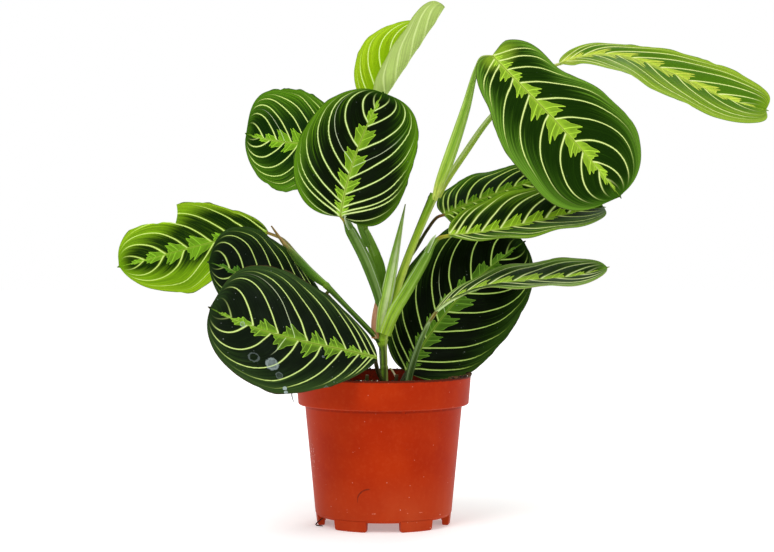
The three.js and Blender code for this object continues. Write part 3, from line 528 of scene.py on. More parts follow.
class Blade:
    """A leaf's middle surface, in millimetres. s runs along the rib and t across, -1 to 1."""

    def __init__(self, shape):
        self.shape = shape
        self.rib = np.array(shape["rib"], float)
        self.samples = np.linspace(0, 1, RIB_SAMPLES + 1)
        steps = np.linalg.norm(np.diff(self.rib_at(self.samples), axis=0), axis=1)
        self.lengths = np.concatenate([[0], np.cumsum(steps)])
        self.length = self.lengths[-1]

    def rib_at(self, t):
        a, b, c = t - 1 / 3, t - 2 / 3, t - 1
        weights = np.stack([-4.5 * a * b * c, 13.5 * t * b * c, -13.5 * t * a * c, 4.5 * t * a * b], -1)
        return weights @ self.rib

    def rib_direction(self, t):
        return unit(self.rib_at(t + 1e-3) - self.rib_at(t - 1e-3))

    def half_width(self, s, right, torn=True, uneven=True):
        def of(side):
            half, widest, base, tip = self.shape[side][:4]
            closes = (self.shape[side] + (BLADE_CLOSES,))[4]
            towards_base = s < widest
            reach = np.where(towards_base, widest, closes - widest)
            away = np.minimum(np.abs(s - widest) / reach, 1)
            power = np.where(towards_base, base, tip)
            return half * (1 - away ** power) ** (1 / power)

        width = np.where(right, of("right"), of("left"))
        tear = self.shape["tear"]
        if tear and torn:
            opens = np.clip((s - tear["start"]) / (tear["deepest"] - tear["start"]), 0, 1) ** 0.55
            heals = np.clip((tear["end"] - s) / (tear["end"] - tear["deepest"]), 0, 1)
            width = np.where(right, width - tear["depth"] * opens * heals, width)
        for is_right, at, spread, depth in self.shape["waists"]:
            pinch = depth * np.exp(-(((s - at) / spread) ** 2))
            width = np.where(right == is_right, width - pinch, width)
        depth = np.where(right, *self.shape["uneven"][::-1]) * uneven
        for waves, part in UNEVEN:
            turn = waves * (s + 0.02 * np.sin(19 * s)) + self.rib[3, 0] + 2.0 * right
            width = width + depth * part * np.sin(2 * np.pi * turn) * np.sin(np.pi * np.clip(s, 0, 1))
        return np.maximum(width, TIP_HALF * np.clip((1.004 - s) / 0.02, 0.1, 1))

    def point(self, s, t):
        shape = self.shape
        s, t = np.broadcast_arrays(np.asarray(s, float), np.asarray(t, float))
        right = t > 0

        def by_side(pair):
            return np.where(right, pair[1], pair[0])

        across = np.abs(t)
        half = self.half_width(s, right)
        full = by_side((shape["left"][0], shape["right"][0]))
        from_rib = across * half
        grown = np.minimum(shape["lobe_rise"] * half / full, 1)
        back = by_side(shape["lobe"]) * across ** 2 * (1 - s) ** LOBE_FADE * grown
        ahead = by_side(shape["ahead"]) * across ** 2 * s ** LOBE_FADE * grown
        along = s * self.length - back + ahead
        run = np.interp(np.clip(along, 0, self.length), self.lengths, self.samples)
        direction = self.rib_direction(run)
        point = self.rib_at(run) + direction * (along - np.clip(along, 0, self.length))[..., None]
        share = np.clip(along / self.length, 0, 1)[..., None]
        up = (1 - share) * np.array(shape["faces"][0]) + share * np.array(shape["faces"][1])
        up = unit(up - (up * direction).sum(-1, keepdims=True) * direction)
        sideways = np.cross(direction, up)
        fold = np.radians(by_side(shape["fold"]))
        curl = np.radians(by_side([angle or 0.01 for angle in shape["curl"]]))
        reach = full * by_side(shape["roll"])
        bend = curl / reach
        bent = np.minimum(from_rib, reach)
        angle = fold + bend * bent
        out = (np.sin(angle) - np.sin(fold)) / bend + (from_rib - bent) * np.cos(angle)
        rise = (np.cos(fold) - np.cos(angle)) / bend + (from_rib - bent) * np.sin(angle)
        ripple = np.sin(2 * np.pi * EDGE_WAVES * s + by_side((0, RIGHT_WAVE_LAG))) * np.sin(np.pi * s)
        wave = shape["wave"] * across ** 2 * ripple
        out = out - np.sin(angle) * wave
        rise = rise + np.cos(angle) * wave
        return point + sideways * (np.sign(t) * out)[..., None] + up * rise[..., None]

    def normal(self, s, t, step=0.004):
        s = np.clip(s, 3 * step, 1 - 3 * step)
        t = np.clip(t, -1 + step, 1 - step)
        along = self.point(s + step, t) - self.point(s - step, t)
        across = self.point(s, t + step) - self.point(s, t - step)
        return unit(np.cross(across, along))

    def vein_phase(self, s, across, side):
        """Counts the side veins of one half, whole numbers on the veins, and how clearly they show."""
        starts = self.shape["veins"][side]
        before = (-0.6, -0.3, -0.12)
        places = np.array(before + tuple(starts) + (1.0, 1.1))
        counts = np.arange(len(places)) - len(before)
        origin = np.linspace(-0.6, 1.0, 500)
        full = 1 - self.shape["close"] * np.clip(origin, 0, 1) ** 2
        lean = self.shape["sweep"] * (0.4 + 0.6 * np.clip(origin / 0.25, 0, 1))
        phase = np.empty(np.broadcast_shapes(s.shape, across.shape))
        shown = np.empty_like(phase)
        for column, u in enumerate(np.minimum(across[0], 0.992)):
            fits = full > u + 0.004
            meets = origin[fits] - lean[fits] * np.log(1 - u / full[fits])
            start = np.interp(s[:, 0], meets, origin[fits])
            phase[:, column] = np.interp(start, places, counts)
            run = u / np.interp(start, origin, full)
            shown[:, column] = eased(run, 0.985, 0.84) * eased(start, 0.92, 0.80)
        shown *= eased(across, 1.0, 0.8) * eased(phase, -1.7, -0.3) * eased(s, 0.975, 0.86)
        return phase, shown


def leaf_fields(blade, rows, shares, side):
    """What the material reads on one half: place, veins, and the relief in millimetres."""
    s = rows[:, None]
    across = shares[None, :]
    sign = -1 if side == 0 else 1
    t = sign * np.maximum(across, 1e-4)
    half = blade.half_width(s, np.broadcast_to(t > 0, (len(rows), len(shares))))
    phase, shown = blade.vein_phase(s, across, side)
    # The veins follow the whole, even outline, so a tear or a dent cuts them off
    whole = half / blade.half_width(s, t > 0, torn=False, uneven=False)
    for row, ratio in enumerate(whole):
        phase[row] = np.interp(shares * ratio, shares, phase[row])
        shown[row] = np.interp(shares * ratio, shares, shown[row])
    across = across * whole
    half = half / whole
    points = blade.point(s, t)
    # pitch is the distance between two veins in millimetres, from how fast the count grows on the surface
    along_s = np.gradient(points, rows, axis=0)
    along_u = np.gradient(points, shares, axis=1)
    phase_s = np.gradient(phase, rows, axis=0)
    phase_u = np.gradient(phase, shares, axis=1)
    e = (along_s ** 2).sum(-1)
    f = (along_s * along_u).sum(-1)
    g = (along_u ** 2).sum(-1)
    slope = g * phase_s ** 2 - 2 * f * phase_s * phase_u + e * phase_u ** 2
    slope = slope / np.maximum(e * g - f * f, 1e-6)
    pitch = np.clip(1 / np.sqrt(np.maximum(slope, 1e-6)), 0.4, 40)
    from_rib = across * half
    share = phase - np.floor(phase)
    swell = 1 - np.abs(2 * share - 1) ** 2.2
    calm = np.clip(from_rib / 5, 0, 1) * np.clip((1 - across) / 0.25, 0, 1) * np.clip(pitch / 8, 0, 1)
    relief = QUILT_HEIGHT * (swell - 0.5) * calm
    relief = relief - RIB_GROOVE_DEPTH * np.exp(-((from_rib / RIB_GROOVE_WIDTH) ** 2))
    place = np.stack(np.broadcast_arrays(s, sign * across, shown), -1)
    veins = np.stack([phase, pitch, half], -1)
    return place, veins, relief, from_rib


def thin_body(rows, columns):
    """The faces of a closed thin body over two grids of points, upper then lower, and their kinds."""
    under = rows * columns
    row, column = np.meshgrid(np.arange(rows - 1), np.arange(columns - 1), indexing="ij")
    a = (row * columns + column).ravel()
    upper = np.stack([a, a + 1, a + columns + 1, a + columns], 1)
    border = np.concatenate([
        np.arange(columns - 1),
        np.arange(rows - 1) * columns + columns - 1,
        (rows - 1) * columns + np.arange(columns - 1, 0, -1),
        np.arange(rows - 1, 0, -1) * columns,
    ])
    after = np.roll(border, -1)
    rim = np.stack([border, border + under, after + under, after], 1)
    faces = np.concatenate([upper, upper[:, ::-1] + under, rim])
    kinds = np.repeat([0, 1, 0], [len(upper), len(upper), len(rim)])
    return faces, kinds, column.ravel()


def leaf_piece(name, shape, materials):
    blade = Blade(shape)
    rows = (1 - np.cos(np.pi * np.linspace(0, 1, LEAF_ROWS + 1))) / 2
    rows = 0.5 * rows + 0.5 * np.linspace(0, 1, LEAF_ROWS + 1)
    tear = shape["tear"]
    if tear:
        hollow = np.linspace(0, 1, TEAR_ROWS) ** 2 * (tear["deepest"] - tear["start"])
        rows = np.sort(np.concatenate([rows, tear["start"] + hollow]))
    shares = np.linspace(0, 1, HALF_COLUMNS + 1) ** 1.15
    left = leaf_fields(blade, rows, shares, 0)
    right = leaf_fields(blade, rows, shares, 1)
    across = np.concatenate([-shares[::-1], shares[1:]])
    relief = np.concatenate([left[2][:, ::-1], right[2][:, 1:]], axis=1)
    s = np.broadcast_to(rows[:, None], relief.shape)
    t = np.broadcast_to(across[None, :], relief.shape)
    middle = blade.point(s, t)
    normal = blade.normal(s, t)
    thick = EDGE_THICKNESS + (LEAF_THICKNESS - EDGE_THICKNESS) * (1 - np.abs(t) ** 4)
    top = middle + normal * (relief + thick / 2)[..., None]
    from_rib = np.concatenate([left[3][:, ::-1], right[3][:, 1:]], axis=1)
    ridge = RIDGE_HEIGHT * (1 - s) ** 0.7 * np.exp(-((from_rib / RIDGE_WIDTH) ** 2))
    bottom = middle + normal * (relief - thick / 2 - ridge)[..., None]
    points = np.concatenate([top.reshape(-1, 3), bottom.reshape(-1, 3)])
    wide = len(across)
    under = top.shape[0] * wide
    faces, kinds, column = thin_body(len(rows), wide)
    piece = new_piece(name + "_blade", points, faces.tolist(), materials, [name], shape["slot"], kinds)

    # On the midrib the two halves differ, so each face corner takes the values of its own half.
    def at_corners(index):
        both = np.concatenate([left[index][:, ::-1], right[index][:, 1:]], axis=1).reshape(-1, 3)
        both = np.concatenate([both, both])
        values = both[faces]
        left_side = column < HALF_COLUMNS
        is_left = np.concatenate([left_side, left_side, np.zeros(len(faces) - 2 * len(column), bool)])
        on_rib = faces % under % wide == HALF_COLUMNS
        here = is_left[:, None] & on_rib
        values[here] = left[index][:, 0][(faces % under // wide)[here]]
        return values

    store(piece.data, "leaf_place", at_corners(0), "CORNER")
    store(piece.data, "leaf_veins", at_corners(1), "CORNER")
    return piece


def leaf_pattern(graph, shape):
    """The fields that the upper and the lower face share.

    bent counts the side veins from the base, and share is the way from one of them to the next.
    """
    along, across, shown = graph.stored("leaf_place")
    phase, pitch, half = graph.stored("leaf_veins")
    right = across.math("GREATER_THAN", 0.0)
    reach = across.abs()
    # The leaf's tip gives it a steady number of its own, so that no two leaves have the same streaks
    x, y, z = shape["rib"][-1]
    seed = (abs(x) * 0.137 + abs(y) * 0.311 + z * 0.071) % 17
    drift = graph.noise(graph.vector(phase * 0.9, reach * 2.5, right * 5.0 + seed), detail=1.0)
    bent = phase + (drift - 0.5) * 0.16
    share = bent.fract()
    fine = graph.noise(graph.vector(bent * 12.0, reach * 1.8, right * 9.0 + seed), detail=3.0, roughness=0.6)
    hair = graph.noise(graph.vector(bent * 34.0, reach * 2.4, right * 3.0 + seed), detail=2.0)
    streak = graph.noise(graph.vector(bent * 7.0, reach * 1.2, right * 7.0 + seed), detail=2.0, roughness=0.7)
    near = share.least(1.0 - share) * pitch
    return SimpleNamespace(
        along=along, across=across, shown=shown, pitch=pitch, half=half, right=right, reach=reach, seed=seed,
        from_rib=reach * half, bent=bent, share=share, fine=fine, hair=hair, streak=streak, near=near)


def leaf_ground(graph, f, shape):
    """Dark fields between the veins, streaked out to a plain green margin, and a lime wash at the base."""
    middle, margin = shape["middle"], shape["margin"]
    (low, high), (low_right, high_right) = shape["dark_to"]
    streaks = f.fine * 0.45 + f.hair * 0.25 + f.streak * 0.55 - 0.625
    darker = f.along.step(0.72, 0.25) * f.right * shape["darker_base"]
    dark = (f.reach - darker + streaks * 0.6 + (f.share - 0.5) * 0.08).step(
        f.right * (high_right - high) + high, f.right * (low_right - low) + low)
    dark = dark * f.along.step(0.99, 0.90)
    streaked = shape["streaked"]
    colour = graph.mix(f.fine.step(0.36, 0.64) * streaked, middle, tinted(middle, 0.62))
    colour = graph.layers(
        colour,
        (f.hair.step(0.52, 0.72) * f.reach.step(0.3, 0.9) * 0.5, margin),
        (f.reach.step(0.72, 1.0) * 0.55, margin),
        (f.streak.step(0.52, 0.7) * f.reach.step(0.35, 0.8) * 0.5, tinted(margin, 1.25)),
        (f.streak.step(0.48, 0.34) * (0.5 * streaked), blend(shape["dark"], middle, 0.35)),
        (dark, shape["dark"]),
        (dark * f.hair.step(0.5, 0.75) * 0.2, middle))
    wash = shape["wash"]
    if wash:
        spread = (f.along + f.reach * 0.06 + (f.fine - 0.5) * 0.1).step(wash, wash * 0.35)
        colour = graph.mix(spread * f.reach.step(1.05, 0.55) * 0.85, colour, tinted(shape["lime"], 0.9))
    return colour


def band_width(graph, f, shape):
    """The lime band's half width, as a share of the leaf's: one lobe with two points between two veins.

    A lobe joins the vein on its base side, and on its tip side a dark notch parts it from the next vein.
    """
    middle, late = shape["teeth"]
    wander = graph.noise(graph.vector(f.bent * 1.7, f.reach * 6.0, f.seed), detail=1.0)
    share = (f.share - shape["tooth_at"] + (wander - 0.5) * 0.10).most(0.0)
    lobe = share.ramp(
        (0.0, 0.30), (0.12, 0.52), (0.20, 0.58), (0.43, 1.04 * middle), (0.52, 0.72 * late),
        (0.64, 0.88 * late), (0.74, 0.36), (0.79, 0.30), (0.87, 0.08), (1.0, 0.04), soft=True)
    left, right = shape["band"]
    size = (f.right * (right - left) + left) * f.along.ramp(
        (0.0, 0.8), (0.12, 0.95), (0.45, 1.0), (0.63, 0.86), (0.76, 0.6), (0.86, 0.34), (0.94, 0.15),
        (1.0, 0.0))
    each = graph.noise(graph.vector(f.bent.floor() * 3.7, f.right * 4.0 + f.seed, 0.0), detail=0.0)
    jag = graph.noise(graph.vector(f.bent * 6.0, f.reach * 8.0, f.seed), detail=1.0)
    return lobe * size * (each * 0.8 + 0.6) + (jag - 0.5) * 0.02


def add_band(graph, f, shape, colour):
    """The lime band, with soft pleats, a paler outline and a pale line to each point."""
    outside = (f.reach - band_width(graph, f, shape)) * f.half
    in_band = outside.step(0.22, -0.22) * f.along.step(1.04, 0.84)
    outline = (outside + 0.12).abs().step(0.42, 0.1) * f.along.step(1.0, 0.8)
    lime = shape["lime"]
    bright = tinted(lime, 1.18, 18)
    inside = blend(shape["middle"], lime, shape["band_lime"])
    to_middle_point = (f.share - shape["tooth_at"] - 0.43).abs() * f.pitch
    to_late_point = (f.share - shape["tooth_at"] - 0.66).abs() * f.pitch
    band = graph.layers(
        graph.mix(f.fine.step(0.36, 0.68) * 0.6, inside, tinted(inside, 0.72)),
        (f.hair.step(0.5, 0.75) * 0.35, lime),
        (f.near.step(1.8, 0.5) * 0.7, lime),
        (f.from_rib.step(3.2, 1.0) * 0.8, lime),
        (to_late_point.step(0.4, 0.1) * 0.45, bright),
        (to_middle_point.step(0.42, 0.12) * 0.85, bright))
    colour = graph.layers(colour, (in_band, band), (outline * 0.7 * (1.0 - shape["wash"] * 2.0), bright))
    for is_right, gap, ends in shape["fine_veins"]:
        here = (f.bent.floor() - float(gap)).abs().step(0.5, 0.4)
        here = here * (f.right - float(is_right)).abs().step(0.6, 0.4)
        line = to_middle_point.step(0.36, 0.08) * f.reach.step(ends, ends * 0.6) * f.shown * here
        colour = graph.mix(line * 0.85, colour, blend(shape["vein"], FINE_VEIN, 0.7))
    return colour, in_band


def add_veins(graph, f, shape, colour, in_band):
    """Side veins, wider where they leave the midrib and fading near the margin, with a painted sheen beside
    them, the midrib and the edge.
    """
    width = f.reach.ramp((0.0, 0.76), (0.12, 0.60), (0.5, 0.50), (0.85, 0.34), (1.0, 0.18)) * shape["veined"]
    # glow lays a lighter halo of margin green beside each vein: a painted sheen on the quilted relief
    glow = f.near.step(width * 2.6, width * 0.6) * f.shown
    vein = f.near.step(width * 1.25, width * 0.4) * f.shown * f.pitch.step(1.0, 2.6)
    vein = vein * (1.0 - in_band * f.reach.step(0.16, 0.0) * 0.45) * (f.fine * 0.3 + 0.85)
    core = f.near.step(width * 0.62, width * 0.2) * f.shown * f.reach.step(1.0, 0.7)
    rib_width = f.along.ramp((0.0, 1.5), (0.3, 1.05), (0.8, 0.55), (1.0, 0.25))
    rib = f.from_rib.step(rib_width, rib_width * 0.45)
    groove = f.from_rib.step(0.40, 0.08) * f.along.step(0.9, 0.6)
    edge = ((1.0 - f.reach) * f.half).step(0.6, 0.2)
    colour = graph.layers(
        colour,
        (glow * 0.22, shape["margin"]),
        (vein, shape["vein"]),
        (core * 0.75, blend(shape["vein"], VEIN_CORE, 0.6)),
        (rib * f.along.step(0.985, 0.88) * 0.85, blend(shape["lime"], shape["vein"], 0.45)),
        (groove * 0.8, RIB_GROOVE),
        (edge * 0.7, shape["edge"]))
    return colour, rib


def leaf_top(name, shape):
    graph = Graph(name)
    f = leaf_pattern(graph, shape)
    colour, in_band = add_band(graph, f, shape, leaf_ground(graph, f, shape))
    colour, rib = add_veins(graph, f, shape, colour, in_band)

    # Dust, dried specks, and the drops and water marks that a leaf has
    spot = graph.place()[0]
    dust = shape["dust"]
    specks = graph.cells(spot, scale=0.2).step(0.075, 0.03) * dust
    specks = specks + graph.cells(spot, scale=0.09).step(0.055, 0.03) * dust
    haze = graph.noise(spot, scale=0.07, detail=3.0, roughness=0.6).step(0.42, 0.8) * dust
    colour = graph.layers(colour, (specks * 0.75, SPECK), (haze * 0.04, HAZE))
    wet = specks * 0.0
    for at, side, radius, strength, filled in shape["marks"]:
        ragged = graph.noise(spot, scale=0.5, detail=2.0)
        run = (f.along - at) * Blade(shape).length
        rise = f.across * f.half - side
        away = ((run * run + rise * rise).math("SQRT") + (ragged - 0.5) * radius * 0.7) / radius
        patch = away.step(1.0, 0.8)
        ring = (away - 0.86).abs().step(0.2, 0.05)
        inside = patch * (strength * filled) * (ragged * 0.6 + 0.3)
        colour = graph.mix(inside + ring * (strength * 0.45), colour, WATER_MARK)
        wet = wet + patch

    swell = f.share.ramp((0.0, 0.0), (0.12, 0.7), (0.5, 1.0), (0.88, 0.7), (1.0, 0.0))
    grain = graph.noise(spot, scale=2.2, detail=2.0)
    height = swell * 0.35 * f.shown + f.fine * 0.24 + f.hair * 0.12 + (1.0 - rib) * 0.3 + grain * 0.08
    rough = f.fine * 0.12 + grain * 0.1 + 0.34 + specks * 0.3 + haze * 0.1 - wet * 0.08
    return graph.shade(colour, height + wet * 0.3, rough, bump_mm=0.5, through=graph.lighter(colour, 1.5),
                       through_share=shape["glow"], Specular_IOR_Level=LEAF_SHINE)


def leaf_under(name, shape):
    graph = Graph(name)
    f = leaf_pattern(graph, shape)
    pale = shape["under"] or blend(shape["middle"], UNDERSIDE, 0.62)
    light = blend(tinted(pale, 1.12, 12), UNDER_VEIN, 0.5)
    rib = f.from_rib.step(1.5, 0.9)
    colour = graph.layers(
        graph.mix(f.fine.step(0.3, 0.75), pale, tinted(pale, 0.86)),
        (f.reach.step(0.4, 1.0) * 0.35, tinted(pale, 0.8)),
        (f.near.step(0.95, 0.3) * f.shown * 0.7, light),
        (rib, light),
        (((1.0 - f.reach) * f.half).step(0.8, 0.3) * 0.6, shape["edge"]))
    height = f.near.step(1.2, 0.2) * 0.5 + f.fine * 0.2 + rib * 0.6
    return graph.shade(colour, height, f.fine * 0.15 + 0.45, bump_mm=0.5, through=graph.lighter(colour, 1.3),
                       through_share=shape["glow"], Specular_IOR_Level=LEAF_SHINE)


def make_leaves():
    for name, shape in LEAVES.items():
        materials = [leaf_top(name + "_top", shape), leaf_under(name + "_under", shape)]
        leaf_piece(name, shape, materials)


# Stalks: stems, petioles and sheaths. Their grid in millimetres, their relief and their gloss
STALK_SIDES = 30
STALK_STEP = 1.3
FEWEST_STEPS = 12
SEAM_GAP = 0.02
SEAM_LIP = 0.32
SEAM_LIP_SPREAD = 0.6
SEAM_EDGE_ENDS = 0.82
RING_LIP = 0.35
RING_HALF_HEIGHT = 0.9
RIBS_AROUND = 11
RIB_LIP = 0.045
WOBBLE = 0.07
SCALE_ROWS = 14
SCALE_COLUMNS = 10
SCALE_THICKNESS = 0.22
STALK_SHINE = 0.1
# A petiole ends this far along its blade's midrib, and this far under it
JOINED = 0.9
UNDER_BLADE = 0.6

# Each kind of stalk: how streaked it is, its roughness, and how much light comes through
STALK_KINDS = {
    "stalk_green": (0.7, 0.28, 0.08),
    "stalk_pale": (0.55, 0.3, 0.2),
    "stalk_brown": (0.8, 0.32, 0.02),
    "sheath_dry": (1.0, 0.5, 0.12),
}


def stalk(**own):
    """A stalk's values: its own, and those that most stalks share."""
    shared = dict(
        slot="stalk_green", leaf=None, ribs=1.0, rings=(), stripes=(), scales=(), seam=None,
        edge=(190, 205, 150), edge_spread=0.16)
    return shared | own
